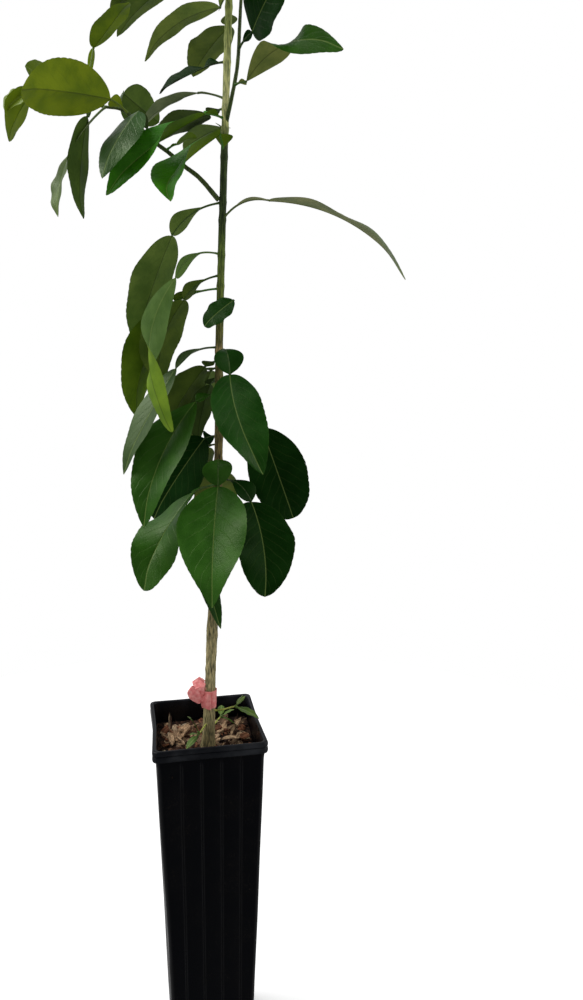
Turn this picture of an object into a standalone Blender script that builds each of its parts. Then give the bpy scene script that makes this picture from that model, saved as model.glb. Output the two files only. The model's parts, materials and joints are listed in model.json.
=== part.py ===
"""Potted ruby red grapefruit tree: a young budded tree in a tall square nursery pot.

Metres, +Z up.  The origin is the middle of the pot's flat underside.  The pot's front faces -Y,
and +X is to the right of someone who looks at that front.  Bearings are degrees, counted from +X
towards +Y, so 270 points at the viewer, and a rise is degrees above the horizontal.
"""
from collections import namedtuple
from math import cos, exp, pi, radians, sin
from random import Random

import bmesh
import bpy
from mathutils import Vector
from mathutils.bvhtree import BVHTree

GAP = 0.00035                   # clearance between two pieces that meet
SHOOT_GAP = 0.0006              # the same where a shoot's first ring leans against its bough's last

# The pot: a square tree pot of 4 x 4 x 14 inches, blown in thin black plastic
POT_HEIGHT = 0.356
RIM_SIDE = 0.1016
RIM_HEIGHT = 0.011
RIM_ROLL = 0.0012               # how far the rolled lip's edges are rounded
WALL_TOP_SIDE = 0.0969
WALL_FOOT_SIDE = 0.0800
FOOT_ROUNDING = 0.0014
POT_WALL = 0.0014
POT_FLOOR = 0.0020
CORNER_RADIUS = 0.0050
CORNER_POINTS = 4
GROOVE_OFFSETS = (-0.0267, -0.0089, 0.0089, 0.0267)
GROOVE_WIDTH = 0.0034
GROOVE_DEPTH = 0.0009
GROOVE_FOOT = 0.007             # where the grooves start above the underside
GROOVE_END = 0.005              # where they stop below the rim
DRAIN_RADIUS = 0.0048
DRAIN_REACH = 0.0312            # each drain hole's distance from the middle
DRAIN_SIDES = 12

# The potting mix: it fills the pot to a finger's width below the rim
SOIL_TOP = 0.3280
SOIL_FLAT_RADIUS = 0.012        # the level spot that the trunk stands on
SOIL_RELIEF = 0.0016
SOIL_RISE = 0.006               # how much higher the mix lies along the back wall
SOIL_WAVES = (190, 170)         # the top's unevenness, in radians a metre across and along
SOIL_FOLDS = 0.018              # where the block's sides bend, from the middle of each side
SOIL_RING_SHARES = (1.0, 0.84, 0.60, 0.42)

# The trunk: its middle line leans a little to the right and its girth tapers to the leader's tip
TRUNK_FOOT = SOIL_TOP + GAP
TRUNK_TIP = 1.150
TRUNK_LINE = ((TRUNK_FOOT, 0.0018), (0.430, 0.0064), (0.540, 0.0118), (0.620, 0.0150),
              (0.710, 0.0163), (0.850, 0.0212), (0.985, 0.0267), (TRUNK_TIP, 0.0330))
TRUNK_GIRTH = ((TRUNK_FOOT, 0.0074), (0.334, 0.0064), (0.345, 0.0060), (0.400, 0.0049),
               (0.432, 0.0050), (0.448, 0.0053), (0.466, 0.0045), (0.540, 0.0040),
               (0.710, 0.0033), (0.850, 0.0030), (0.985, 0.0028), (1.100, 0.0019),
               (TRUNK_TIP, 0.0011))
TRUNK_SIDES = 10
TRUNK_LOW_RINGS = (TRUNK_FOOT, 0.3305, 0.334, 0.339, 0.345, 0.356, 0.372, 0.388, 0.407, 0.420,
                   0.432, 0.440, 0.448, 0.456, 0.466, 0.480)
TRUNK_RING_STEP = 0.024         # between the rings above the last of the low ones
ROOT_RIDGES = 5
ROOT_RIDGE_SHARE = 0.10         # how far the root flare's ridges stand out, of the radius
ROOT_FLARE_HEIGHT = 0.010

# The flagging ribbon tied round the foot of the trunk
RIBBON_FOOT = 0.3714
RIBBON_WIDTH = 0.0178
RIBBON_THICKNESS = 0.0007
RIBBON_SLACK = 0.0006           # how loosely the band lies round the bark
RIBBON_SIDES = 16
RIBBON_KNOT_RADIUS = 0.0034
RIBBON_KNOT_SEAT = (-1.16, -0.44)    # the knot's middle, in band radii from the trunk's middle
RIBBON_CURL = 0.0012
RIBBON_CURL_RATE = 5            # radians of the curl's wave along one end
RIBBON_END_ROLL = 20
RIBBON_END_STATIONS = (0.0, 0.15, 0.55, 0.9, 1.0)
RIBBON_GATHER = 0.45            # an end's width at the knot, of its full width
RIBBON_SPREAD = 0.5             # the fraction of an end's length where it reaches that width
RIBBON_THINNING = 0.55          # how much thinner an end is at its tip
RIBBON_ENDS = (                 # name, bearing, rise, length, width, depth
    ("bow", 192, 42, 0.0165, 0.0110, 0.0030),
    ("upper_end", 204, 72, 0.0190, 0.0085, 0.0018),
    ("lower_end", 250, -68, 0.0090, 0.0055, 0.0014),
)

# The two side branches, as points that their middle lines pass through
LEFT_BOUGH = ((0.017, 0.000, 0.834), (0.002, 0.004, 0.851), (-0.011, 0.008, 0.861),
              (-0.023, 0.010, 0.871))
LEFT_SHOOT = ((-0.023, 0.010, 0.871), (-0.038, 0.012, 0.882), (-0.057, 0.016, 0.902),
              (-0.077, 0.020, 0.906), (-0.107, 0.026, 0.915), (-0.129, 0.028, 0.920))
RIGHT_BOUGH = ((0.0235, 0.000, 0.893), (0.027, -0.008, 0.911), (0.031, -0.010, 0.931),
               (0.033, -0.009, 0.948), (0.034, -0.008, 0.966), (0.036, -0.007, 0.992),
               (0.041, -0.004, 1.028))
RIGHT_SHOOT = ((0.041, -0.004, 1.028), (0.047, -0.001, 1.055), (0.051, 0.003, 1.082))
LEFT_BOUGH_RADII = (0.0021, 0.0015)
LEFT_SHOOT_RADII = (0.0015, 0.0008)
RIGHT_BOUGH_RADII = (0.0017, 0.0012)
RIGHT_SHOOT_RADII = (0.0012, 0.0008)
LIMB_SIDES = 8
LIMB_STEP = 0.008
ROUTE_PROBE = 0.02              # the fraction of a route over which its direction is taken
SEAT_STEP = 0.0001              # how finely a stalk's seat on its carrier is found
SEAT_REACH = 0.030              # how much of the carrier is looked at, either way
SEAT_STATIONS = 12

# The three small shoots that the rootstock has put out at the foot of the trunk
SPROUTS = {
    "sprout_right": ((0.0040, 0.000, 0.3672), (0.014, -0.005, 0.3690), (0.0281, -0.010, 0.3743)),
    "sprout_left": ((0.0030, 0.000, 0.3560), (-0.003, -0.008, 0.3535), (-0.0080, -0.014, 0.3506)),
    "sprout_behind": ((0.0030, 0.000, 0.3450), (0.012, 0.010, 0.3495), (0.0166, 0.014, 0.3525)),
}
SPROUT_RADII = (0.0010, 0.0008)

# Every leaf: a petiole, a winged stretch, a joint and a blade
PETIOLE_HALF = 0.0010
TIP_HALF = 0.0004
LEAF_THICKNESS_SHARE = 0.0105   # of the whole leaf's length
LEAST_HALF_THICKNESS = 0.0004
PETIOLE_SHARE = 0.28            # of the stalk, the rest carries the wing
PETIOLE_OF_WIDTH = 0.1          # a small leaf's petiole is no thicker than this share of its blade
TURN_END = 0.75                 # where on the stalk its sides have turned to face like the blade
LEAST_ACROSS = 0.2              # a side direction shorter than this is taken from the other end
THIN_FROM = 0.95                # the fraction of the blade from which it thins to its tip
TWIST_EVEN = 0.4                # the share of a twist spread over the whole blade
TWIST_FROM, TWIST_TO = 0.3, 0.75    # the stretch of the blade that takes the rest
HEEL_TO, POINT_FROM = 0.3, 0.8  # where the blade's base shape ends and its tip shape starts
WING_STATIONS = (0.50, 0.68, 0.86, 0.96)
BLADE_STATIONS = (0.03, 0.12, 0.26, 0.42, 0.58, 0.74, 0.89, 1.00)

Leaf = namedtuple("Leaf", "name base stalk blade width roll arch bend twist fold wing lift "
                          "heel point")


def leaf(name, base, stalk, blade, width, roll=0, arch=0.04, bend=0.0, twist=0, fold=12,
         wing=0.014, lift=0.05, heel=0.62, point=0.72):
    """One leaf's measures.

    base is the height on the trunk, or the fraction along a shoot, where it grows.  stalk and
    blade are (bearing, rise, length in mm) of the straight lines from base to joint and from
    joint to tip.  roll turns the upper face about the blade, arch and bend bow the midrib towards
    the upper face and sideways, twist turns the blade along its length, fold lifts its two
    halves, wing is the winged stalk's width, and lift bows the stalk upwards.  A low heel makes
    the blade's base round, and a high point makes its tip sharp.
    """
    return Leaf(name, base, stalk, blade, width, roll, arch, bend, twist, fold, wing, lift,
                heel, point)


TRUNK_LEAVES = (
    # From the lowest leaf up to the leaf that arches out on the right
    leaf("leaf_low_behind", 0.576, (225, -30, 30), (287, -60, 96), 0.024, roll=-15, bend=0.10),
    leaf("leaf_low_left", 0.590, (211, -6, 28), (228, -42, 100), 0.048, roll=30, bend=0.04,
         twist=65, heel=0.75, point=0.55),
    leaf("leaf_low_right", 0.594, (314, -21, 40), (272, -46, 90), 0.055, roll=-5, bend=-0.04,
         wing=0.024, lift=0.20, point=0.50),
    leaf("leaf_low_front", 0.611, (262, -26, 35), (259, -41, 116), 0.062, roll=6, arch=0.06,
         fold=20, wing=0.028, lift=0.34, heel=0.78, point=0.88),
    leaf("leaf_dark_left", 0.634, (124, -13, 20), (165, -57, 92), 0.054, roll=-65, point=0.55),
    leaf("leaf_dark_right", 0.653, (7, -19, 42), (18, -69, 96), 0.055, roll=110, point=0.48),
    leaf("leaf_big_left", 0.673, (188, -19, 22), (232, -47, 124), 0.047, roll=-5, bend=0.05,
         fold=18, heel=0.95),
    leaf("leaf_olive_small", 0.688, (115, -32, 18), (134, -73, 55), 0.030, roll=10),
    leaf("leaf_olive_mid", 0.701, (130, -21, 18), (171, -57, 62), 0.038, roll=45),
    leaf("leaf_mid_front", 0.708, (280, -28, 34), (285, -46, 98), 0.046, roll=8, bend=0.07,
         fold=16, wing=0.027, lift=0.34, point=0.74),
    leaf("leaf_narrow_left", 0.712, (179, -25, 42), (220, -51, 104), 0.030, roll=5, bend=-0.03,
         wing=0.020, lift=0.15),
    leaf("leaf_young_oval", 0.737, (298, 38, 26), (177, -40, 33), 0.023, roll=-45, fold=4,
         wing=0.004, point=0.45),
    leaf("leaf_outer_left", 0.762, (141, -14, 49), (173, -69, 108), 0.050, roll=40, bend=-0.06,
         wing=0.018, point=0.60),
    leaf("leaf_inner_left", 0.773, (174, -33, 38), (129, -65, 80), 0.044, roll=10, bend=-0.08,
         wing=0.018, lift=0.12, point=0.60),
    leaf("leaf_twisted_left", 0.790, (185, -26, 44), (262, -63, 134), 0.029, roll=-28,
         twist=115, arch=-0.05, bend=0.15, wing=0.012, lift=0.22, heel=0.80, point=0.50),
    leaf("leaf_arching_right", 0.818, (325, 19, 46), (328, -26, 131), 0.044, roll=-5, arch=0.11,
         fold=10, lift=0.15),
    leaf("leaf_hanging_left", 0.832, (160, -31, 52), (136, -65, 104), 0.042, roll=20,
         wing=0.022, lift=0.12, point=0.60),
    # Above the left bough
    leaf("leaf_bright_left", 0.870, (244, 52, 18), (228, -38, 88), 0.038, roll=22, bend=0.25,
         twist=32, fold=26, wing=0.020, heel=0.42, point=0.65),
    leaf("leaf_veined_left", 0.889, (90, 12, 20), (118, -12, 60), 0.026, roll=10),
    leaf("leaf_long_left", 0.897, (206, 6, 20), (188, -37, 104), 0.036, roll=2, bend=-0.03,
         twist=70, fold=28, heel=0.85),
    leaf("leaf_olive_upper", 0.905, (128, -8, 20), (131, -14, 66), 0.032, roll=15),
    leaf("leaf_thin_stalked", 0.912, (144, 14, 27), (127, -14, 73), 0.020, fold=20, bend=-0.02,
         wing=0.006, heel=0.81, point=0.64),
    leaf("leaf_dark_upper", 0.940, (151, -9, 20), (137, -17, 50), 0.018, roll=-43, bend=-0.06,
         fold=23, heel=1.07, point=0.40),
    leaf("leaf_broad_upper", 0.978, (81, -12, 26), (117, -27, 64), 0.037, twist=-5, fold=8,
         heel=0.73, point=0.65),
    leaf("leaf_drooping_upper", 0.991, (230, -46, 20), (212, -33, 89), 0.019, roll=56,
         bend=-0.07, twist=-14, fold=19, point=0.66),
    leaf("leaf_top_left_a", 1.007, (141, 15, 32), (138, -26, 96), 0.034, roll=5),
    leaf("leaf_top_left_b", 1.028, (149, 21, 32), (141, -32, 108), 0.034, roll=5),
)

# Leaves on the far side, which fill the crown out as the near side is filled
FAR_LEAVES = (
    leaf("leaf_far_low_a", 0.602, (78, -12, 30), (95, -60, 84), 0.044),
    leaf("leaf_far_low_b", 0.626, (104, -14, 30), (122, -56, 84), 0.042, roll=10),
    leaf("leaf_far_mid_a", 0.663, (60, -5, 30), (36, -62, 80), 0.044, roll=-10),
    leaf("leaf_far_mid_b", 0.694, (98, -10, 28), (116, -60, 80), 0.040),
)

# The leader's last leaves, above the photograph's view, shrink and rise towards the tip.  Each
# pair of numbers is the lowest leaf's value and how much it has changed at the tip.
TOP_LEAVES_FROM = 1.046
TOP_LEAF_COUNT = 10
TOP_SPACING = 0.9               # below 1 the leaves stand closer together towards the tip
TOP_FIRST_BEARING = 208
SPIRAL_STEP = 137.5
TOP_SEED = 11
TOP_BEARING_SPREAD = 8
TOP_BLADE_SPREAD = 14
TOP_ROLL_SPREAD = 15
TOP_STALK_RISE = (20, 45)
TOP_STALK_LENGTH = (26, -12)
TOP_BLADE_RISE = (-22, 82)
TOP_BLADE_LENGTH = (92, -50)
TOP_BLADE_WIDTH = (0.042, -0.022)
TOP_WING = (0.012, -0.007)
TOP_ARCH = 0.06

RIGHT_BOUGH_LEAVES = (
    leaf("leaf_curled_right", 0.22, (305, 4, 14), (304, 6, 104), 0.026, roll=-45, arch=0.06,
         bend=0.13, twist=-145, fold=2, wing=0.006, heel=1.1, point=0.60),
    leaf("leaf_upright_right", 0.42, (293, 22, 22), (284, 25, 78), 0.044, roll=105, wing=0.008,
         point=0.60),
)

LEFT_SHOOT_LEAVES = (
    leaf("small", 0.02, (340, 30, 10), (49, 17, 30), 0.014, roll=-40, wing=0.004),
    leaf("glossy", 0.14, (218, 56, 24), (242, -39, 87), 0.031, roll=4, fold=-14, wing=0.012,
         heel=0.51, point=0.80),
    leaf("folded", 0.42, (85, 20, 64), (48, -20, 50), 0.034, roll=-65, wing=0.006, point=0.50),
    leaf("large", 0.36, (222, 24, 20), (227, -4, 95), 0.047, roll=60, fold=17, wing=0.012,
         point=0.60),
    leaf("hanging_narrow", 0.52, (213, -48, 52), (249, -55, 60), 0.022, roll=40, wing=0.015),
    leaf("hanging_long", 0.60, (242, -45, 16), (259, -62, 92), 0.026, roll=115, wing=0.006),
    leaf("rising", 0.64, (73, 64, 50), (301, 25, 60), 0.026, roll=5, bend=-0.05, wing=0.006),
    leaf("tip_upper", 0.86, (133, 30, 10), (236, 22, 27), 0.024, roll=-85, wing=0.004,
         point=0.50),
    leaf("tip_left", 0.94, (235, -14, 10), (218, -34, 34), 0.022, roll=-20, wing=0.004,
         point=0.55),
    leaf("tip_hanging", 0.99, (236, -49, 6), (232, -52, 52), 0.034, roll=70, wing=0.004),
)

# The right shoot's tip leaves fan out on the side away from the leader
RIGHT_SHOOT_BEARINGS = (-62, 48, -10, 84, 10)
RIGHT_SHOOT_SEED = 4
RIGHT_BEARING_SPREAD = 10
RIGHT_ROLL_SPREAD = 12
RIGHT_BASE = (0.10, 0.86)
RIGHT_STALK_RISE = (25, 25)
RIGHT_STALK_LENGTH = (20, -8)
RIGHT_BLADE_RISE = (-15, 60)
RIGHT_BLADE_LENGTH = (84, -34)
RIGHT_BLADE_WIDTH = (0.036, -0.014)

# Each sprout's three leaflets: bearing and rise, then length in mm
SPROUT_LEAFLETS = {
    "sprout_right": (((343, 58), 14), ((326, -16), 26), ((40, 20), 15)),
    "sprout_left": (((222, -23), 20), ((214, 16), 12), ((190, 62), 23)),
    "sprout_behind": (((18, -40), 24), ((80, 10), 18), ((350, 30), 15)),
}
LEAFLET_SHAPE = 0.40            # a leaflet's width, of its length
LEAFLET_STALK = 3               # its stalk's length in mm
LEAFLET_BASE = 0.97             # where on the sprout the three meet


def stations_value(stations, at):
    """Read a value between named stations, on a smooth curve through all of them."""
    last = len(stations) - 1
    k = 0
    while k < last - 1 and at > stations[k + 1][0]:
        k += 1
    before, start, end, after = (stations[max(k - 1, 0)], stations[k], stations[k + 1],
                                 stations[min(k + 2, last)])
    span = end[0] - start[0]
    t = min(max((at - start[0]) / span, 0.0), 1.0)
    slope_start = (end[1] - before[1]) / (end[0] - before[0]) * span
    slope_end = (after[1] - start[1]) / (after[0] - start[0]) * span
    return ((2 * t**3 - 3 * t**2 + 1) * start[1] + (t**3 - 2 * t**2 + t) * slope_start
            + (3 * t**2 - 2 * t**3) * end[1] + (t**3 - t**2) * slope_end)


def trunk_axis(height):
    return Vector((stations_value(TRUNK_LINE, height), 0.0, height))


def trunk_radius(height):
    return stations_value(TRUNK_GIRTH, height)


def route_point(points, fraction):
    """A point on the smooth curve through a branch's points, by fraction of its length."""
    knots = [Vector(p) for p in points]
    lengths = [(b - a).length for a, b in zip(knots, knots[1:])]
    goal = fraction * sum(lengths)
    k = 0
    while k < len(lengths) - 1 and goal > lengths[k]:
        goal -= lengths[k]
        k += 1
    t = goal / lengths[k]
    start, end = knots[k], knots[k + 1]
    slope_start = (end - knots[max(k - 1, 0)]) * (0.5 if k else 1.0)
    slope_end = (knots[min(k + 2, len(knots) - 1)] - start) * (0.5 if k < len(knots) - 2 else 1.0)
    return (start * (2 * t**3 - 3 * t**2 + 1) + slope_start * (t**3 - 2 * t**2 + t)
            + end * (3 * t**2 - 2 * t**3) + slope_end * (t**3 - t**2))


def direction(bearing, rise):
    b, r = radians(bearing), radians(rise)
    return Vector((cos(b) * cos(r), sin(b) * cos(r), sin(r)))


def frame(bearing, rise, roll):
    """Along, side and upper-face directions of a leaf that points where bearing and rise say."""
    b, r, q = radians(bearing), radians(rise), radians(roll)
    along = direction(bearing, rise)
    up = Vector((-cos(b) * sin(r), -sin(b) * sin(r), cos(r)))
    face = up * cos(q) + along.cross(up) * sin(q)
    return along, along.cross(face), face


def ramp(start, end, value):
    t = min(max((value - start) / (end - start), 0.0), 1.0)
    return t * t * (3 - 2 * t)


def blade_half(t, width, heel, point):
    sharpness = heel + (point - heel) * ramp(HEEL_TO, POINT_FROM, t)
    return 0.5 * width * max(sin(pi * t**0.86), 0.0)**sharpness


def wing_half(t, width):
    return 0.5 * width * max(sin(pi * t**1.9), 0.0)**0.55


def stalk_middle(foot, spec, t):
    bearing, rise, length = spec.stalk
    along, _, up = frame(bearing, rise, 0)
    reach = length * 0.001
    return foot + along * reach * t + up * spec.lift * reach * 4 * t * (1 - t)


def leaf_sections(foot, spec, clear):
    """Middle, side, face, half width and half thickness of each cross-section of a leaf."""
    stalk_along, _, _ = frame(*spec.stalk[:2], 0)
    blade_along, blade_side, blade_face = frame(*spec.blade[:2], spec.roll)
    stalk_length, blade_length = spec.stalk[2] * 0.001, spec.blade[2] * 0.001
    half_thick = max(0.5 * LEAF_THICKNESS_SHARE * (stalk_length + blade_length),
                     LEAST_HALF_THICKNESS)
    petiole = min(PETIOLE_HALF, PETIOLE_OF_WIDTH * spec.width)
    end_side = blade_side - stalk_along * blade_side.dot(stalk_along)
    start_side = stalk_along.cross(Vector((0, 0, 1)))
    if end_side.length < LEAST_ACROSS:
        end_side = start_side.copy()
    if start_side.length < LEAST_ACROSS:
        start_side = end_side.copy()
    end_side.normalize()
    start_side.normalize()
    if start_side.dot(end_side) < 0:
        start_side = -start_side
    joint = stalk_middle(foot, spec, 1.0)
    start = clear / stalk_length
    sections = []
    for t in (start, PETIOLE_SHARE) + WING_STATIONS:
        t = max(t, start)
        turn = min((t - start) / (TURN_END - start), 1.0)
        side = start_side.lerp(end_side, turn).normalized()
        along_wing = (t - PETIOLE_SHARE) / (1 - PETIOLE_SHARE)
        half = petiole
        if along_wing > 0:
            half = max(wing_half(along_wing, spec.wing), petiole)
        thick = petiole if t <= PETIOLE_SHARE else min(half_thick, petiole)
        sections.append((stalk_middle(foot, spec, t), side, side.cross(stalk_along), half, thick))
    for t in BLADE_STATIONS:
        bow = 4 * t * (1 - t) * blade_length
        middle = (joint + blade_along * blade_length * t + blade_face * spec.arch * bow
                  + blade_side * spec.bend * bow)
        turn = radians(spec.twist) * (TWIST_EVEN * t
                                      + (1 - TWIST_EVEN) * ramp(TWIST_FROM, TWIST_TO, t))
        side = blade_side * cos(turn) + blade_face * sin(turn)
        face = blade_face * cos(turn) - blade_side * sin(turn)
        half = max(blade_half(t, spec.width, spec.heel, spec.point), TIP_HALF)
        thick = half_thick if t < THIN_FROM else TIP_HALF
        sections.append((middle, side, face, half, thick))
    return sections


def leaf_rings(foot, spec, clear):
    """Four points round each section of a leaf: a folded blade's edges, face and back."""
    fold_cos, fold_sin = cos(radians(spec.fold)), sin(radians(spec.fold))
    rings = []
    for middle, side, face, half, thick in leaf_sections(foot, spec, clear):
        out, lift = side * half * fold_cos, face * half * fold_sin
        rings.append((middle - out + lift, middle + face * thick, middle + out + lift,
                      middle - face * thick))
    return rings


def skin(name, rings):
    """Join rings of points with faces, cap both ends and return the new object.

    Each four-sided patch is cut from its even corner to its odd one, so that the two sides of a
    thin twisted blade are cut alike and never cross.
    """
    bm = bmesh.new()
    loops = [[bm.verts.new(point) for point in ring] for ring in rings]
    count = len(loops[0])
    for low, high in zip(loops, loops[1:]):
        for k in range(count):
            n = (k + 1) % count
            if k % 2 == 0:
                bm.faces.new((low[k], low[n], high[n]))
                bm.faces.new((low[k], high[n], high[k]))
            else:
                bm.faces.new((low[k], low[n], high[k]))
                bm.faces.new((low[n], high[n], high[k]))
    bm.faces.new(list(reversed(loops[0])))
    bm.faces.new(loops[-1])
    return finished(name, bm)


def enclosed_volume(bm):
    corners = ([corner.vert.co for corner in patch] for patch in bm.calc_loop_triangles())
    return sum(a.dot(b.cross(c)) for a, b, c in corners) / 6


def finished(name, bm):
    """Turn a bmesh of evenly wound faces into an object, with its faces pointing out."""
    if enclosed_volume(bm) < 0:
        bmesh.ops.reverse_faces(bm, faces=bm.faces)
    mesh = bpy.data.meshes.new(name)
    bm.to_mesh(mesh)
    bm.free()
    mesh.shade_smooth()
    mesh.set_sharp_from_angle(angle=radians(35))
    piece = bpy.data.objects.new(name, mesh)
    bpy.context.scene.collection.objects.link(piece)
    return piece


def tube_rings(middles, radii, sides):
    """Rings of a round tapering limb, kept from turning about its middle line."""
    rings = []
    across = None
    for k, middle in enumerate(middles):
        ahead = middles[min(k + 1, len(middles) - 1)] - middles[max(k - 1, 0)]
        ahead.normalize()
        if across is None:
            across = ahead.orthogonal()
        across = (across - ahead * across.dot(ahead)).normalized()
        other = ahead.cross(across)
        turns = [2 * pi * n / sides for n in range(sides)]
        rings.append([middle + (across * cos(a) + other * sin(a)) * radii[k] for a in turns])
    return rings


def limb(name, route, radii, start):
    """A tapering limb along a route, from a fraction of it to its end."""
    steps = max(int(route_length(route) / LIMB_STEP), 2)
    fractions = [start + (1 - start) * k / steps for k in range(steps + 1)]
    middles = [route_point(route, f) for f in fractions]
    widths = [radii[0] + (radii[1] - radii[0]) * f for f in fractions]
    return skin(name, tube_rings(middles, widths, LIMB_SIDES))


def fuse(name, pieces):
    """Fuse overlapping pieces into one closed solid with one union."""
    gathered = bpy.data.collections.new(name + "_pieces")
    bpy.context.scene.collection.children.link(gathered)
    for piece in pieces[1:]:
        gathered.objects.link(piece)
        bpy.context.scene.collection.objects.unlink(piece)
    union = pieces[0].modifiers.new("union", "BOOLEAN")
    union.operation = "UNION"
    union.operand_type = "COLLECTION"
    union.collection = gathered
    union.solver = "EXACT"
    seen = bpy.context.evaluated_depsgraph_get()
    mesh = bpy.data.meshes.new_from_object(pieces[0].evaluated_get(seen))
    mesh.name = name
    whole = bpy.data.objects.new(name, mesh)
    bpy.context.scene.collection.objects.link(whole)
    for piece in pieces:
        bpy.data.objects.remove(piece)
    bpy.data.collections.remove(gathered)
    return whole


def finish(piece, look):
    """Give a piece its own plain surface of a colour and roughness."""
    colour, roughness = look
    surface = bpy.data.materials.new(piece.name)
    surface.use_nodes = True
    shader = surface.node_tree.nodes["Principled BSDF"]
    shader.inputs["Base Color"].default_value = (*colour, 1.0)
    shader.inputs["Roughness"].default_value = roughness
    shader.inputs["Metallic"].default_value = 0.0
    piece.data.materials.clear()
    piece.data.materials.append(surface)


# Each surface's colour and roughness
BLACK_PLASTIC = ((0.004, 0.004, 0.005), 0.45)
POTTING_MIX = ((0.060, 0.030, 0.018), 0.9)
BARK = ((0.180, 0.130, 0.070), 0.8)
GREEN_WOOD = ((0.060, 0.085, 0.025), 0.5)
RIBBON_PINK = ((0.800, 0.250, 0.230), 0.5)
LEAF_GREEN = ((0.020, 0.075, 0.012), 0.35)


def square_outline(side, groove=0.0, offsets=GROOVE_OFFSETS):
    """A rounded square with a shallow groove at each offset of each side, going round it."""
    half = 0.5 * side
    radius = CORNER_RADIUS
    outline = []
    for quarter in range(4):
        turn = 0.5 * pi * quarter
        points = []
        for offset in offsets:
            points.append((half, offset - 0.5 * GROOVE_WIDTH))
            points.append((half - groove, offset))
            points.append((half, offset + 0.5 * GROOVE_WIDTH))
        for k in range(CORNER_POINTS):
            a = 0.5 * pi * k / (CORNER_POINTS - 1)
            points.append((half - radius + radius * cos(a), half - radius + radius * sin(a)))
        outline += [(x * cos(turn) - y * sin(turn), x * sin(turn) + y * cos(turn))
                    for x, y in points]
    return outline


def wall_side(height):
    """The pot body's outer width at a height."""
    top = POT_HEIGHT - RIM_HEIGHT
    return WALL_FOOT_SIDE + (WALL_TOP_SIDE - WALL_FOOT_SIDE) * height / top


def at_height(outline, height):
    return [Vector((x, y, height)) for x, y in outline]


def build_pot():
    rim_foot = POT_HEIGHT - RIM_HEIGHT
    groove_top = rim_foot - GROOVE_END
    profile = (
        (0.0, WALL_FOOT_SIDE - 2 * FOOT_ROUNDING, 0.0),
        (FOOT_ROUNDING, wall_side(FOOT_ROUNDING), 0.0),
        (GROOVE_FOOT, wall_side(GROOVE_FOOT), GROOVE_DEPTH),
        (groove_top, wall_side(groove_top), GROOVE_DEPTH),
        (rim_foot, WALL_TOP_SIDE, 0.0),
        (rim_foot, RIM_SIDE - RIM_ROLL, 0.0),
        (rim_foot + RIM_ROLL, RIM_SIDE, 0.0),
        (POT_HEIGHT - RIM_ROLL, RIM_SIDE, 0.0),
        (POT_HEIGHT, RIM_SIDE - 2 * RIM_ROLL, 0.0),
        (POT_HEIGHT, WALL_TOP_SIDE - 2 * POT_WALL + RIM_ROLL, 0.0),
        (POT_HEIGHT - RIM_ROLL, WALL_TOP_SIDE - 2 * POT_WALL, 0.0),
        (rim_foot, WALL_TOP_SIDE - 2 * POT_WALL, 0.0),
        (POT_FLOOR, wall_side(POT_FLOOR) - 2 * POT_WALL, 0.0),
    )
    pot = skin("pot", [at_height(square_outline(side, groove), height)
                       for height, side, groove in profile])
    for k in range(4):
        angle = 0.25 * pi + 0.5 * pi * k
        drain_cutter(pot, k, DRAIN_REACH * cos(angle), DRAIN_REACH * sin(angle))
    finish(pot, BLACK_PLASTIC)


def drain_cutter(pot, number, x, y):
    """A round hole through the pot's floor."""
    bm = bmesh.new()
    bmesh.ops.create_cone(bm, cap_ends=True, segments=DRAIN_SIDES, radius1=DRAIN_RADIUS,
                          radius2=DRAIN_RADIUS, depth=4 * POT_FLOOR)
    bmesh.ops.translate(bm, verts=bm.verts, vec=(x, y, 0.5 * POT_FLOOR))
    cutter = finished("drain_cutter_%d" % number, bm)
    cutter.hide_render = True
    cutter.display_type = "WIRE"
    cut = pot.modifiers.new("drain", "BOOLEAN")
    cut.operation = "DIFFERENCE"
    cut.object = cutter


def soil_height(x, y):
    """The uneven top of the potting mix, higher towards the back wall."""
    bump = sin(SOIL_WAVES[0] * x + 1.3) * cos(SOIL_WAVES[1] * y - 0.4) - 0.2
    rise = max(y, 0.0) / (0.5 * WALL_TOP_SIDE)
    return SOIL_TOP + SOIL_RELIEF * bump + SOIL_RISE * rise


def build_soil():
    """The potting mix: a tapering block that follows the pot's inside, with an uneven top."""
    foot = POT_FLOOR + GAP
    rings = []
    for height in (foot, SOIL_TOP - SOIL_RELIEF):
        side = wall_side(height) - 2 * POT_WALL - 2 * GAP
        outline = square_outline(side, offsets=(-SOIL_FOLDS, SOIL_FOLDS))
        rings.append(at_height(outline, height))
    for share in SOIL_RING_SHARES:
        rings.append([Vector((x * share, y * share, soil_height(x * share, y * share)))
                      for x, y, _ in rings[1]])
    level = [Vector((x, y, 0)).normalized() * SOIL_FLAT_RADIUS for x, y, _ in rings[1]]
    rings.append([point + Vector((0, 0, SOIL_TOP)) for point in level])
    finish(skin("potting_mix", rings), POTTING_MIX)


def build_trunk():
    heights = list(TRUNK_LOW_RINGS)
    while heights[-1] < TRUNK_TIP - TRUNK_RING_STEP:
        heights.append(heights[-1] + TRUNK_RING_STEP)
    heights.append(TRUNK_TIP)
    rings = []
    for height in heights:
        middle, radius = trunk_axis(height), trunk_radius(height)
        flare = exp(-(height - TRUNK_FOOT) / ROOT_FLARE_HEIGHT)
        ring = []
        for k in range(TRUNK_SIDES):
            angle = 2 * pi * k / TRUNK_SIDES
            reach = radius * (1 + ROOT_RIDGE_SHARE * flare * cos(ROOT_RIDGES * angle))
            ring.append(middle + Vector((cos(angle), sin(angle), 0)) * reach)
        rings.append(ring)
    finish(skin("trunk", rings), BARK)


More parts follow.
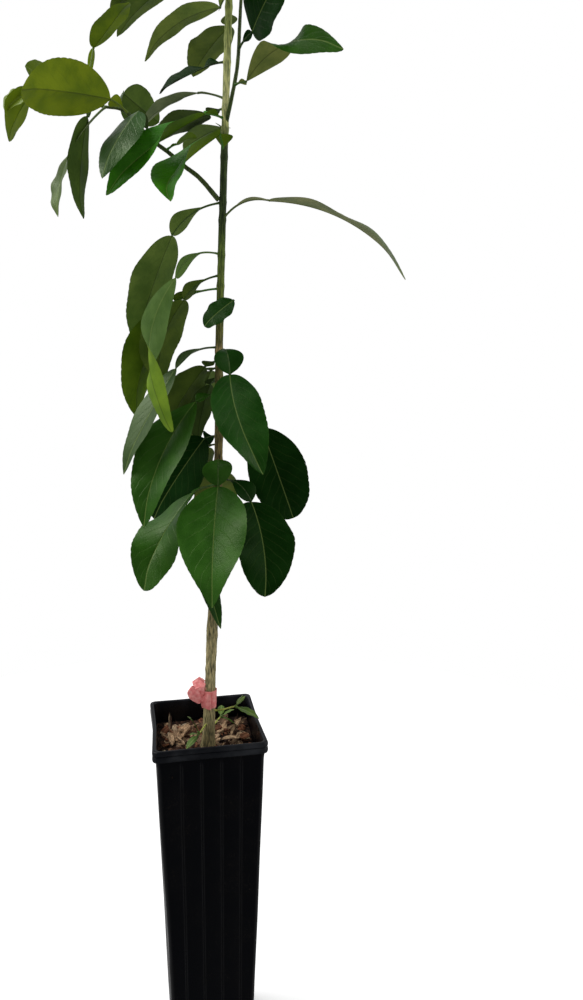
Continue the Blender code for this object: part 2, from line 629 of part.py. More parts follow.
def ribbon_band():
    """One turn of the ribbon, close round the leaning trunk."""
    turns = [2 * pi * k / RIBBON_SIDES for k in range(RIBBON_SIDES)]
    foot, top = RIBBON_FOOT, RIBBON_FOOT + RIBBON_WIDTH
    inner = max(trunk_radius(foot), trunk_radius(top)) / cos(pi / RIBBON_SIDES) + RIBBON_SLACK
    outer = inner + RIBBON_THICKNESS
    bm = bmesh.new()
    loops = []
    for radius, height in ((inner, foot), (outer, foot), (outer, top), (inner, top)):
        middle = trunk_axis(height)
        loops.append([bm.verts.new(middle + Vector((cos(a), sin(a), 0)) * radius) for a in turns])
    for low, high in zip(loops, loops[1:] + loops[:1]):
        for k in range(RIBBON_SIDES):
            n = (k + 1) % RIBBON_SIDES
            bm.faces.new((low[k], low[n], high[n], high[k]))
    return finished("band", bm), outer


def ribbon_end(name, start, bearing, rise, length, width, depth):
    """A folded end of the ribbon that stands out from the knot and widens."""
    along, side, face = frame(bearing, rise, RIBBON_END_ROLL)
    rings = []
    for t in RIBBON_END_STATIONS:
        half = 0.5 * width * (RIBBON_GATHER + (1 - RIBBON_GATHER) * min(t / RIBBON_SPREAD, 1.0))
        thick = 0.5 * depth * (1.0 - RIBBON_THINNING * t)
        middle = start + along * length * t + face * RIBBON_CURL * sin(RIBBON_CURL_RATE * t)
        rings.append((middle - side * half, middle - face * thick, middle + side * half,
                      middle + face * thick))
    return skin(name, rings)


def build_ribbon():
    """The ribbon: a band once round the trunk, a knot, a folded bow and two short ends."""
    band, outer = ribbon_band()
    middle = trunk_axis(RIBBON_FOOT + 0.5 * RIBBON_WIDTH)
    knot_at = middle + Vector((*RIBBON_KNOT_SEAT, 0.0)) * outer
    knot = bmesh.new()
    bmesh.ops.create_icosphere(knot, subdivisions=1, radius=RIBBON_KNOT_RADIUS)
    bmesh.ops.translate(knot, verts=knot.verts, vec=knot_at)
    pieces = [band, finished("knot", knot)]
    for name, bearing, rise, length, width, depth in RIBBON_ENDS:
        start = knot_at - direction(bearing, rise) * 0.5 * RIBBON_KNOT_RADIUS
        pieces.append(ribbon_end(name, start, bearing, rise, length, width, depth))
    finish(fuse("ribbon", pieces), RIBBON_PINK)


def trunk_stretch(height):
    """Middles and radii of the trunk's stations near a height."""
    heights = [height + SEAT_REACH * (2 * k / SEAT_STATIONS - 1) for k in range(SEAT_STATIONS + 1)]
    heights = [min(max(h, TRUNK_FOOT), TRUNK_TIP) for h in heights]
    return [(trunk_axis(h), trunk_radius(h)) for h in heights]


def route_stretch(route, radii, fraction):
    """Middles and radii of a bough's stations near a fraction of its length."""
    reach = SEAT_REACH / route_length(route)
    fractions = [fraction + reach * (2 * k / SEAT_STATIONS - 1) for k in range(SEAT_STATIONS + 1)]
    fractions = [min(max(f, 0.0), 1.0) for f in fractions]
    return [(route_point(route, f), radii[0] + (radii[1] - radii[0]) * f) for f in fractions]


def bare_distance(point, stretch):
    """How far a point lies outside a round limb that is given by its stations."""
    gaps = []
    for (start, start_radius), (end, end_radius) in zip(stretch, stretch[1:]):
        span = end - start
        t = 0.0
        if span.length > 0:
            t = min(max((point - start).dot(span) / span.length_squared, 0.0), 1.0)
        gaps.append((point - start - span * t).length - start_radius
                    - (end_radius - start_radius) * t)
    return min(gaps)


def seated(ring_at, stretch):
    """The least distance out along a stalk at which its end ring clears the limb behind it."""
    clear = 0.0
    while min(bare_distance(point, stretch) for point in ring_at(clear)) < GAP:
        clear += SEAT_STEP
    return clear


def seated_leaf(foot, spec, stretch):
    clear = seated(lambda reach: leaf_rings(foot, spec, reach)[0], stretch)
    piece = skin(spec.name, leaf_rings(foot, spec, clear))
    finish(piece, LEAF_GREEN)
    return piece


def trunk_leaf(spec):
    """A leaf that grows on the trunk, its petiole ending just clear of the bark."""
    return seated_leaf(trunk_axis(spec.base), spec, trunk_stretch(spec.base))


def bough_leaf(spec, route, radii):
    """A leaf that grows on a bough, just clear of it."""
    return seated_leaf(route_point(route, spec.base), spec,
                       route_stretch(route, radii, spec.base))


def surface_tree(piece):
    bpy.context.view_layer.update()
    bm = bmesh.new()
    bm.from_mesh(piece.data)
    tree = BVHTree.FromBMesh(bm, epsilon=2 * GAP)
    bm.free()
    return tree


def shifted(pair, t):
    """A value that starts at the pair's first number and has changed by its second at t = 1."""
    return pair[0] + pair[1] * t


def build_top_leaves(standing):
    """Spiral leaves round the leader's tip; one that would touch a neighbour is left out."""
    draw = Random(TOP_SEED)
    trees = [surface_tree(piece) for piece in standing]
    for k in range(TOP_LEAF_COUNT):
        t = k / (TOP_LEAF_COUNT - 1)
        reach = TRUNK_TIP - TRUNK_GIRTH[-1][1] - TOP_LEAVES_FROM
        height = TOP_LEAVES_FROM + reach * t**TOP_SPACING
        bearing = TOP_FIRST_BEARING + SPIRAL_STEP * k
        bearing += draw.uniform(-TOP_BEARING_SPREAD, TOP_BEARING_SPREAD)
        turn = draw.uniform(-TOP_BLADE_SPREAD, TOP_BLADE_SPREAD)
        stalk = (bearing, shifted(TOP_STALK_RISE, t), shifted(TOP_STALK_LENGTH, t))
        blade = (bearing + turn, shifted(TOP_BLADE_RISE, t), shifted(TOP_BLADE_LENGTH, t))
        roll = draw.uniform(-TOP_ROLL_SPREAD, TOP_ROLL_SPREAD)
        piece = trunk_leaf(leaf("leaf_top_%02d" % (k + 1), height, stalk, blade,
                                shifted(TOP_BLADE_WIDTH, t), roll, TOP_ARCH,
                                wing=shifted(TOP_WING, t)))
        tree = surface_tree(piece)
        if any(tree.overlap(other) for other in trees):
            bpy.data.objects.remove(piece)
        else:
            trees.append(tree)


def trunk_seat(route, radius):
    """The fraction of a route at which a limb that grows on the trunk starts."""
    length = route_length(route)

    def ring_at(clear):
        starts = [route_point(route, clear / length + step) for step in (0.0, ROUTE_PROBE)]
        return tube_rings(starts, (radius, radius), LIMB_SIDES)[0]

    return seated(ring_at, trunk_stretch(route[0][2])) / length


def build_bough(name, route, radii):
    piece = limb(name, route, radii, trunk_seat(route, radii[0]))
    finish(piece, GREEN_WOOD)
    return piece


def route_length(route):
    return sum((Vector(b) - Vector(a)).length for a, b in zip(route, route[1:]))


def build_shoot(name, route, radii, leaves, start):
    """A side shoot with its leaves fused on, as one solid."""
    pieces = [limb("stem", route, radii, start)]
    for spec in leaves:
        rings = leaf_rings(route_point(route, spec.base), spec, 0.0)
        pieces.append(skin(spec.name, rings))
    shoot = fuse(name, pieces)
    finish(shoot, LEAF_GREEN)
    return shoot


def right_shoot_leaves():
    draw = Random(RIGHT_SHOOT_SEED)
    leaves = []
    for k, bearing in enumerate(RIGHT_SHOOT_BEARINGS):
        t = k / (len(RIGHT_SHOOT_BEARINGS) - 1)
        turn = draw.uniform(-RIGHT_BEARING_SPREAD, RIGHT_BEARING_SPREAD)
        stalk = (bearing, shifted(RIGHT_STALK_RISE, t), shifted(RIGHT_STALK_LENGTH, t))
        blade = (bearing + turn, shifted(RIGHT_BLADE_RISE, t), shifted(RIGHT_BLADE_LENGTH, t))
        roll = draw.uniform(-RIGHT_ROLL_SPREAD, RIGHT_ROLL_SPREAD)
        leaves.append(leaf("leaf_%d" % k, shifted(RIGHT_BASE, t), stalk, blade,
                           shifted(RIGHT_BLADE_WIDTH, t), roll, wing=0.006))
    return leaves


def build_sprout(name, route):
    """A small shoot with three leaflets at its tip, as citrus rootstock has."""
    leaves = []
    for k, (way, length) in enumerate(SPROUT_LEAFLETS[name]):
        leaves.append(leaf("leaflet_%d" % k, LEAFLET_BASE, (*way, LEAFLET_STALK),
                           (*way, length - LEAFLET_STALK), LEAFLET_SHAPE * length * 0.001,
                           fold=8, wing=0.001, lift=0.0))
    build_shoot(name, route, SPROUT_RADII, leaves, trunk_seat(route, SPROUT_RADII[0]))


def main():
    for piece in list(bpy.data.objects):
        bpy.data.objects.remove(piece)
    build_pot()
    build_soil()
    build_trunk()
    build_ribbon()
    for name, route in SPROUTS.items():
        build_sprout(name, route)
    build_bough("left_bough", LEFT_BOUGH, LEFT_BOUGH_RADII)
    build_bough("right_bough", RIGHT_BOUGH, RIGHT_BOUGH_RADII)
    build_shoot("left_foliage", LEFT_SHOOT, LEFT_SHOOT_RADII, LEFT_SHOOT_LEAVES,
                SHOOT_GAP / route_length(LEFT_SHOOT))
    right = build_shoot("right_foliage", RIGHT_SHOOT, RIGHT_SHOOT_RADII, right_shoot_leaves(),
                        SHOOT_GAP / route_length(RIGHT_SHOOT))
    standing = [right]
    standing += [trunk_leaf(spec) for spec in TRUNK_LEAVES + FAR_LEAVES]
    standing += [bough_leaf(spec, RIGHT_BOUGH, RIGHT_BOUGH_RADII) for spec in RIGHT_BOUGH_LEAVES]
    build_top_leaves(standing)


main()
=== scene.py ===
# %% [markdown]
# # A young grapefruit tree in a tall square pot
# This lesson dresses a plain solid model of a budded citrus tree that stands in a black nursery
# pot.  The solid model says where everything is.  Each cell below replaces one of its simple
# solids with a detailed piece in the same place: first the wood, then the leaves, then the pot.
#
# Lengths are metres and +Z is up.  The origin is the middle of the pot's flat underside, and the
# pot's front faces -Y.  Bearings are degrees from +X towards +Y, so 270 points at the viewer.

# %% Load the solid model
import json
from collections import namedtuple
from math import atan2, cos, exp, hypot, pi, radians, sin
from random import Random

import bmesh
import bpy
from mathutils import Matrix, Vector, noise

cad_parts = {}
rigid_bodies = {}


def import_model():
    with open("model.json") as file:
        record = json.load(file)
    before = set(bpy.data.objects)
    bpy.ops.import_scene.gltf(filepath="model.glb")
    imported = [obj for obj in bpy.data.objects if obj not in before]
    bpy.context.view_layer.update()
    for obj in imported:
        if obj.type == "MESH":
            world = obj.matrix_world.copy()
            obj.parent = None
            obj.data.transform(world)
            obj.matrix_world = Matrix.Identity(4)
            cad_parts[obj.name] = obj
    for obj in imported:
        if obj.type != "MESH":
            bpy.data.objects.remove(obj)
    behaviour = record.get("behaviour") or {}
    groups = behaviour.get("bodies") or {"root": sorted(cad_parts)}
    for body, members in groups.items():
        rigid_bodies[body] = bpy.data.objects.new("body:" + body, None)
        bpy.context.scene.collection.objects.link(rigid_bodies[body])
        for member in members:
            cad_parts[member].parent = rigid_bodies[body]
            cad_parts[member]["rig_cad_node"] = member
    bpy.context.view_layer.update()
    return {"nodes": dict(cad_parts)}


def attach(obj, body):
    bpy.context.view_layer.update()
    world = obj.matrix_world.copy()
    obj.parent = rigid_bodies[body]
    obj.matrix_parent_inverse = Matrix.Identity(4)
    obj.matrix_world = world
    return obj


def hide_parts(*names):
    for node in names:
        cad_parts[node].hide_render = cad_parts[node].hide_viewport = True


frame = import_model()
BODY = "root"
MM = 0.001

# %% [markdown]
# ## The camera
# The picture was taken from a little above the pot's rim, with the phone tipped down, so the pot
# narrows towards its foot.  A camera is placed best by three directions: where it looks, what is
# right and what is up.  They are the columns of its matrix.

# %% Camera
CAMERA_AT = Vector((-0.082, -0.785, 0.781))
CAMERA_YAW = radians(11.80)
CAMERA_PITCH = radians(-14.56)
CAMERA_ROLL = radians(0.65)
FOCAL_PIXELS = 899.0
PICTURE_HEIGHT = 1000.0         # pixels on the picture's longer side, which the sensor covers
SENSOR = 36.0


def aim(yaw, pitch, roll):
    """The right, up and ahead directions of a camera."""
    ahead = Vector((sin(yaw) * cos(pitch), cos(yaw) * cos(pitch), sin(pitch)))
    level = Vector((cos(yaw), -sin(yaw), 0.0))
    lift = level.cross(ahead)
    return level * cos(roll) + lift * sin(roll), lift * cos(roll) - level * sin(roll), ahead


right, up, ahead = aim(CAMERA_YAW, CAMERA_PITCH, CAMERA_ROLL)
lens = bpy.data.cameras.new("camera")
lens.sensor_width = SENSOR
lens.lens = SENSOR * FOCAL_PIXELS / PICTURE_HEIGHT
camera = bpy.data.objects.new("camera", lens)
camera.matrix_world = Matrix((right, up, -ahead)).transposed().to_4x4()
camera.matrix_world.translation = CAMERA_AT
bpy.context.scene.collection.objects.link(camera)
bpy.context.scene.camera = camera
print("Lens of %.1f mm, looking %.1f degrees down" % (lens.lens, -CAMERA_PITCH * 180 / pi))

# %% [markdown]
# ## Helpers for node trees
# Shaders and Geometry Nodes are both trees of nodes.  These few functions add a node, set its
# properties and connect its inputs in one line, so that each tree below reads from top to bottom.

# %% Node helpers
FIRST_COLOUR, SECOND_COLOUR, COLOUR_RESULT = 6, 7, 2    # a Mix node's sockets for colours
FLOAT = "NodeSocketFloat"
LIMIT, LINEAR_PART, OFFSET, GAMMA = 0.04045, 12.92, 0.055, 2.4      # how a screen stores light


def add(tree, kind, inputs=None, **settings):
    """Add a node; an input is either a value or another node's output."""
    node = tree.nodes.new(kind)
    for name, value in settings.items():
        setattr(node, name, value)
    for key, value in (inputs or {}).items():
        if isinstance(value, bpy.types.NodeSocket):
            tree.links.new(value, node.inputs[key])
        else:
            node.inputs[key].default_value = value
    return node


def out(tree, kind, inputs=None, output=0, **settings):
    """Add a node, and give one of its outputs."""
    return add(tree, kind, inputs, **settings).outputs[output]


def sum_up(tree, operation, first, second=0.0):
    """A Math node's result."""
    return out(tree, "ShaderNodeMath", {0: first, 1: second}, operation=operation)


def plus(tree, first, second):
    return sum_up(tree, "ADD", first, second)


def minus(tree, first, second):
    return sum_up(tree, "SUBTRACT", first, second)


def times(tree, first, second):
    return sum_up(tree, "MULTIPLY", first, second)


def split(tree, vector):
    """The three numbers of a vector."""
    return add(tree, "ShaderNodeSeparateXYZ", {0: vector}).outputs


def joined(tree, x, y, z):
    """A vector of three numbers."""
    return out(tree, "ShaderNodeCombineXYZ", {0: x, 1: y, 2: z})


def attribute(tree, name, output="Fac"):
    """What a shader reads from a piece's own attribute."""
    return out(tree, "ShaderNodeAttribute", output=output, attribute_name=name)


def ease(tree, value, start, end, low=0.0, high=1.0):
    """Turn a value smoothly from low to high while it goes from start to end."""
    inputs = {"Value": value, "From Min": start, "From Max": end, "To Min": low, "To Max": high}
    return out(tree, "ShaderNodeMapRange", inputs, "Result", interpolation_type="SMOOTHSTEP")


def mix(tree, factor, first, second, blend="MIX"):
    """Mix two colours."""
    inputs = {0: factor, FIRST_COLOUR: first, SECOND_COLOUR: second}
    return out(tree, "ShaderNodeMix", inputs, COLOUR_RESULT, data_type="RGBA", blend_type=blend)


def vary(tree, colour, mask, dark, light):
    """A colour times dark where the mask is 0, and times light where it is 1."""
    return mix(tree, mask, mix(tree, 1.0, colour, dark, "MULTIPLY"),
               mix(tree, 1.0, colour, light, "MULTIPLY"))


def linear(channel):
    share = channel / 255
    return share / LINEAR_PART if share <= LIMIT else ((share + OFFSET) / (1 + OFFSET))**GAMMA


def screen(red, green, blue):
    """A colour as a screen names it, from 0 to 255, as the linear values that shaders use."""
    return (linear(red), linear(green), linear(blue), 1.0)


def colour_ramp(tree, share, stops):
    """A colour ramp with a stop for each place on it and colour."""
    node = add(tree, "ShaderNodeValToRGB", {0: share})
    marks = node.color_ramp.elements
    while len(marks) < len(stops):
        marks.new(1.0)
    for mark, (position, colour) in zip(marks, stops):
        mark.position = position
        mark.color = screen(*colour)
    return node.outputs["Color"]


def new_group(name, kind, inputs, outputs):
    """A node group, what it is given by name and the named results that it puts out."""
    tree = bpy.data.node_groups.new(name, kind)
    for label, socket_type, value in inputs:
        socket = tree.interface.new_socket(label, in_out="INPUT", socket_type=socket_type)
        if value is not None:
            socket.default_value = value
    for label, socket_type in outputs:
        tree.interface.new_socket(label, in_out="OUTPUT", socket_type=socket_type)
    return tree, add(tree, "NodeGroupInput").outputs, add(tree, "NodeGroupOutput").inputs


def new_material(name, roughness, specular):
    """A material with its shader and that shader's tree."""
    material = bpy.data.materials.new(name)
    material.use_nodes = True
    tree = material.node_tree
    shader = tree.nodes["Principled BSDF"]
    shader.inputs["Roughness"].default_value = roughness
    shader.inputs["Specular IOR Level"].default_value = specular
    return material, tree, shader


def bump(tree, shader, height, strength, distance):
    inputs = {"Strength": strength, "Distance": distance, "Height": height}
    tree.links.new(out(tree, "ShaderNodeBump", inputs), shader.inputs["Normal"])


print("Helpers ready")

# %% [markdown]
# ## Two effects that several finishes share
# Nothing on a plant or a used pot has one even colour.  The group *mottle* gives soft patches or,
# with a stretch above 1, streaks that run up and down, as on bark, plastic and wood.
#
# The group *leaf veins* draws the ribs of a citrus leaf from the leaf's own UV map, in which U
# runs across from edge to edge and V from base to tip.  Lateral veins leave the midrib and curve
# towards the tip, so each is a line of constant V minus a part of the distance from the midrib.

# %% Shader groups
VEIN_PAIRS = 9.0
VEIN_SLANT = 2.6                # how many veins' spacing a vein gains from midrib to edge
VEIN_SHIFT = 0.5                # the right half's veins start between those of the left half
VEIN_WIDTH = 0.05               # of the veins' spacing
VEIN_SWAY = 0.7                 # how unevenly they run
VEIN_FADE = (0.55, 0.95)        # where they end, of the way to the edge
FIRST_VEIN = 0.02
NET_SCALE, NET_WIDTH = 620.0, 0.25
SWAY_SCALE = 70.0
RIB_EDGES = (0.6, 1.6)          # of the rib's half width
EDGE_FROM = 0.93
RIB_HALF = 0.0004

mottle, given, result = new_group(
    "mottle", "ShaderNodeTree",
    [("Scale", FLOAT, 100.0), ("Stretch", FLOAT, 1.0), ("Detail", FLOAT, 3.0)], [("Value", FLOAT)])
x, y, z = split(mottle, out(mottle, "ShaderNodeTexCoord", output="Object"))
stretched = joined(mottle, x, y, sum_up(mottle, "DIVIDE", z, given["Stretch"]))
patches = out(mottle, "ShaderNodeTexNoise",
              {"Vector": stretched, "Scale": given["Scale"], "Detail": given["Detail"]})
mottle.links.new(patches, result["Value"])

leaf_veins, given, result = new_group(
    "leaf veins", "ShaderNodeTree",
    [("Pairs", FLOAT, VEIN_PAIRS), ("Slant", FLOAT, VEIN_SLANT), ("Vein Width", FLOAT, VEIN_WIDTH),
     ("Net Scale", FLOAT, NET_SCALE)],
    [("Rib", FLOAT), ("Veins", FLOAT), ("Net", FLOAT), ("Edge", FLOAT)])
tree = leaf_veins
u, v, _ = split(tree, out(tree, "ShaderNodeUVMap", uv_map="leaf"))
signed = minus(tree, times(tree, u, 2.0), 1.0)
across = sum_up(tree, "ABSOLUTE", signed)
where = out(tree, "ShaderNodeTexCoord", output="Object")
sway = out(tree, "ShaderNodeTexNoise", {"Vector": where, "Scale": SWAY_SCALE})
sway = times(tree, minus(tree, sway, 0.5), VEIN_SWAY)
half_shift = times(tree, sum_up(tree, "GREATER_THAN", signed, 0.0), VEIN_SHIFT)
run = minus(tree, times(tree, v, given["Pairs"]), times(tree, across, given["Slant"]))
phase = sum_up(tree, "FRACT", plus(tree, plus(tree, run, half_shift), sway))
off_vein = sum_up(tree, "ABSOLUTE", minus(tree, phase, 0.5))
line = ease(tree, off_vein, 0.0, given["Vein Width"], 1.0, 0.0)
line = times(tree, line, ease(tree, across, *VEIN_FADE, 1.0, 0.0))
line = times(tree, line, sum_up(tree, "GREATER_THAN", v, FIRST_VEIN))
rib = ease(tree, attribute(tree, "from_rib"), *(RIB_HALF * edge for edge in RIB_EDGES), 1.0, 0.0)
cells = out(tree, "ShaderNodeTexVoronoi", {"Vector": where, "Scale": given["Net Scale"]},
            feature="DISTANCE_TO_EDGE")
for name, socket in (("Rib", rib), ("Veins", line), ("Net", ease(tree, cells, 0.0, NET_WIDTH)),
                     ("Edge", ease(tree, across, EDGE_FROM, 1.0))):
    tree.links.new(socket, result[name])


def mottled(tree, scale, stretch=1.0, detail=3.0):
    """Soft patches or streaks, placed in a material with its own values."""
    inputs = {"Scale": scale, "Stretch": stretch, "Detail": detail}
    return out(tree, "ShaderNodeGroup", inputs, node_tree=mottle)


print("Shader groups:", mottle.name, "and", leaf_veins.name)

# %% [markdown]
# ## Leaf finishes
# A citrus leaf is waxy and dark on its upper face, and dull and more olive below.  Each leaf has a
# plain base colour for either side, in the attributes *upper_tint* and *under_tint*: shade leaves
# are nearly black with painted shade, and young ones yellow-green with painted light shining
# through.  Above, the midrib and the veins are fine pale lines.  Below, the midrib stands out, and
# a painted shadow darkens it, the veins and the edge.  Soft patches vary the rest.  The wax comes
# in four grades, each a finish of its own, with a constant specular level.

# %% Leaf materials
RIB_PALE = screen(146, 166, 92)
# a painted shadow colour for the under side's raised midrib, also laid on its veins and edge
RIB_SHADOW_PAINT = screen(36, 46, 18)
STALK_PALE = screen(96, 118, 58)
PATCH_DARK, PATCH_LIGHT = (0.74, 0.80, 0.74, 1.0), (1.22, 1.16, 1.16, 1.0)
PATCH_EDGES = (0.3, 0.7)
WAX_GLOSS = (0.80, 1.0, 0.52, 1.0)          # the green cast that the wax gives to its sheen
WAX_GRADES = {"dull": 0.05, "soft": 0.18, "waxed": 0.28, "glossy": 0.70}
LOWER_WAX = 0.5                 # the under side's, of the upper side's
UPPER_ROUGH, LOWER_ROUGH = 0.37, 0.65
ROUGH_SPREAD = (0.88, 1.15)
UPPER_SHARES, LOWER_SHARES = (0.34, 0.06), (0.45, 0.12)     # how strong the rib and veins show
NET_SHARE = 0.35                # how high the net of fine veins stands, of a vein


def leaf_material(name, tint_name, roughness, level, rib_colour, shares):
    """One side of a leaf; level is its wax, and shares are how strong its rib and veins show."""
    material, tree, shader = new_material(name, roughness, level)
    shader.inputs["Specular Tint"].default_value = WAX_GLOSS
    veins = add(tree, "ShaderNodeGroup", {"Pairs": VEIN_PAIRS}, node_tree=leaf_veins).outputs
    patches = mottled(tree, scale=60.0, detail=4.0)
    colour = vary(tree, attribute(tree, tint_name, "Color"), ease(tree, patches, *PATCH_EDGES),
                  PATCH_DARK, PATCH_LIGHT)
    for mask, share in (("Veins", shares[1]), ("Edge", 0.5 * shares[1]), ("Rib", shares[0])):
        colour = mix(tree, times(tree, veins[mask], share), colour, rib_colour)
    tree.links.new(colour, shader.inputs["Base Color"])
    rough = ease(tree, patches, *PATCH_EDGES, *(roughness * spread for spread in ROUGH_SPREAD))
    tree.links.new(rough, shader.inputs["Roughness"])
    sunk = times(tree, veins["Veins"], -1.0)
    height = plus(tree, sunk, times(tree, veins["Net"], NET_SHARE))
    bump(tree, shader, height, strength=0.4, distance=0.0004)
    return material


leaf_stalk, tree, shader = new_material("leaf_stalk", roughness=0.5, specular=0.3)
tint = attribute(tree, "upper_tint", "Color")
streaks = mottled(tree, scale=500.0, stretch=4.0)
pale_stalk = mix(tree, 0.5, tint, STALK_PALE)
tree.links.new(mix(tree, ease(tree, streaks, *PATCH_EDGES), tint, pale_stalk),
               shader.inputs["Base Color"])
bump(tree, shader, streaks, strength=0.3, distance=0.0003)

leaf_finishes = {}
for grade, level in WAX_GRADES.items():
    above = leaf_material("leaf_upper_" + grade, "upper_tint", UPPER_ROUGH, level, RIB_PALE,
                          UPPER_SHARES)
    below = leaf_material("leaf_lower_" + grade, "under_tint", LOWER_ROUGH, level * LOWER_WAX,
                          RIB_SHADOW_PAINT, LOWER_SHARES)
    leaf_finishes[grade] = (above, below, leaf_stalk)
print("Leaf finishes:", ", ".join(leaf_finishes))

# %% [markdown]
# ## Bark
# The rootstock below the bud union has tan bark with fine upright furrows.  Above it the wood is
# younger the higher it is: brown-green, then dark green with pale stripes, then yellow-green near
# the leader.  A colour ramp along the height gives those ages, streaks vary them, and painted shade
# darkens the bottoms of the furrows that the geometry carries in its attribute *relief*.

# %% Bark and green wood materials
BARK_LOW, BARK_HIGH = 0.320, 1.160
BARK_AGES = (                   # height and colour
    (0.328, (134, 124, 90)), (0.350, (160, 150, 112)), (0.425, (164, 154, 116)),
    (0.448, (140, 132, 96)), (0.470, (116, 106, 74)), (0.560, (118, 100, 66)),
    (0.640, (100, 92, 52)), (0.703, (100, 98, 54)), (0.709, (176, 152, 110)),
    (0.716, (104, 100, 56)), (0.745, (100, 114, 50)), (0.800, (88, 110, 46)),
    (0.815, (52, 68, 32)), (0.875, (54, 70, 34)), (0.893, (150, 156, 100)),
    (0.910, (190, 192, 138)), (0.965, (136, 148, 84)), (1.040, (112, 128, 62)),
    (1.150, (88, 116, 44)),
)
STREAK_DARK, STREAK_LIGHT = (0.50, 0.55, 0.50, 1.0), (1.45, 1.38, 1.25, 1.0)
WOOD_SPECULAR = 0.3
STREAK_EDGES = (0.35, 0.65)
FURROW_EDGES = (0.25, 0.55)
FURROW_SHADE_PAINT = screen(34, 28, 18)


def wood_colour(tree):
    """The colour for the wood's age, which goes by its height."""
    height = split(tree, out(tree, "ShaderNodeTexCoord", output="Object"))[2]
    inputs = {"Value": height, "From Min": BARK_LOW, "From Max": BARK_HIGH}
    share = out(tree, "ShaderNodeMapRange", inputs, "Result")
    return colour_ramp(tree, share, [((level - BARK_LOW) / (BARK_HIGH - BARK_LOW), colour)
                                     for level, colour in BARK_AGES])


def wood_material(name, roughness, furrow_shade, plain_colour=None):
    """Streaky wood with painted shade in its furrows, coloured by its height unless a plain colour
    is given.
    """
    material, tree, shader = new_material(name, roughness, WOOD_SPECULAR)
    if plain_colour is None:
        colour = wood_colour(tree)
    else:
        colour = out(tree, "ShaderNodeRGB")
        colour.default_value = plain_colour
    streaks = mottled(tree, scale=900.0, stretch=7.0, detail=4.0)
    colour = vary(tree, colour, ease(tree, streaks, *STREAK_EDGES), STREAK_DARK, STREAK_LIGHT)
    # painted shade: the bottoms of the furrows are darkened, more where the bark is rougher
    furrow_shading = ease(tree, attribute(tree, "relief"), *FURROW_EDGES, furrow_shade, 0.0)
    furrow_shading = times(tree, furrow_shading, attribute(tree, "bark"))
    colour = mix(tree, furrow_shading, colour, FURROW_SHADE_PAINT)
    tree.links.new(colour, shader.inputs["Base Color"])
    grain = mottled(tree, scale=2200.0, stretch=3.0)
    bump(tree, shader, plus(tree, grain, streaks), strength=0.5, distance=0.0003)
    return material


bark = wood_material("trunk_bark", roughness=0.78, furrow_shade=0.75)
green_wood = wood_material("green_wood", roughness=0.5, furrow_shade=0.3,
                           plain_colour=screen(64, 82, 34))
sprout_wood = wood_material("sprout_wood", roughness=0.5, furrow_shade=0.2,
                            plain_colour=screen(150, 158, 74))
print("Bark ages by height:", len(BARK_AGES))

# %% [markdown]
# ## The shape of the trunk and of each branch
# The trunk's middle line and girth are given at a few heights, and a smooth curve goes through
# them.  A side branch is a route through a few points.  The solid model has the same numbers, so
# the fine wood lies exactly where the plain wood was.

# %% Trunk and branch routes
TRUNK_FOOT = 0.32835
TRUNK_SUNK = 0.0045             # how deep the trunk goes on into the potting mix
TRUNK_TIP = 1.150
TRUNK_LINE = ((TRUNK_FOOT, 0.0018), (0.430, 0.0064), (0.540, 0.0118), (0.620, 0.0150),
              (0.710, 0.0163), (0.850, 0.0212), (0.985, 0.0267), (TRUNK_TIP, 0.0330))
TRUNK_GIRTH = ((TRUNK_FOOT, 0.0074), (0.334, 0.0064), (0.345, 0.0060), (0.400, 0.0049),
               (0.432, 0.0050), (0.448, 0.0053), (0.466, 0.0045), (0.540, 0.0040),
               (0.710, 0.0033), (0.850, 0.0030), (0.985, 0.0028), (1.100, 0.0019),
               (TRUNK_TIP, 0.0011))
LEFT_BOUGH = ((0.017, 0.000, 0.834), (0.002, 0.004, 0.851), (-0.011, 0.008, 0.861),
              (-0.023, 0.010, 0.871))
LEFT_SHOOT = ((-0.023, 0.010, 0.871), (-0.038, 0.012, 0.882), (-0.057, 0.016, 0.902),
              (-0.077, 0.020, 0.906), (-0.107, 0.026, 0.915), (-0.129, 0.028, 0.920))
RIGHT_BOUGH = ((0.0235, 0.000, 0.893), (0.027, -0.008, 0.911), (0.031, -0.010, 0.931),
               (0.033, -0.009, 0.948), (0.034, -0.008, 0.966), (0.036, -0.007, 0.992),
               (0.041, -0.004, 1.028))
RIGHT_SHOOT = ((0.041, -0.004, 1.028), (0.047, -0.001, 1.055), (0.051, 0.003, 1.082))
SPROUTS = {
    "sprout_right": ((0.0040, 0.000, 0.3672), (0.014, -0.005, 0.3690), (0.0281, -0.010, 0.3743)),
    "sprout_left": ((0.0030, 0.000, 0.3560), (-0.003, -0.008, 0.3535), (-0.0080, -0.014, 0.3506)),
    "sprout_behind": ((0.0030, 0.000, 0.3450), (0.012, 0.010, 0.3495), (0.0166, 0.014, 0.3525)),
}


def hermite(t, start, slope_start, end, slope_end):
    """A smooth way from start to end, with given slopes there."""
    return (start * (2 * t**3 - 3 * t**2 + 1) + slope_start * (t**3 - 2 * t**2 + t)
            + end * (3 * t**2 - 2 * t**3) + slope_end * (t**3 - t**2))


def stations_value(stations, at):
    """Read a value between named stations, on a smooth curve through all of them."""
    last = len(stations) - 1
    k = 0
    while k < last - 1 and at > stations[k + 1][0]:
        k += 1
    before, start, end, after = (stations[max(k - 1, 0)], stations[k], stations[k + 1],
                                 stations[min(k + 2, last)])
    span = end[0] - start[0]
    t = min(max((at - start[0]) / span, 0.0), 1.0)
    slope_start = (end[1] - before[1]) / (end[0] - before[0]) * span
    slope_end = (after[1] - start[1]) / (after[0] - start[0]) * span
    return hermite(t, start[1], slope_start, end[1], slope_end)


def trunk_axis(height):
    return Vector((stations_value(TRUNK_LINE, height), 0.0, height))


def trunk_radius(height):
    return stations_value(TRUNK_GIRTH, height)


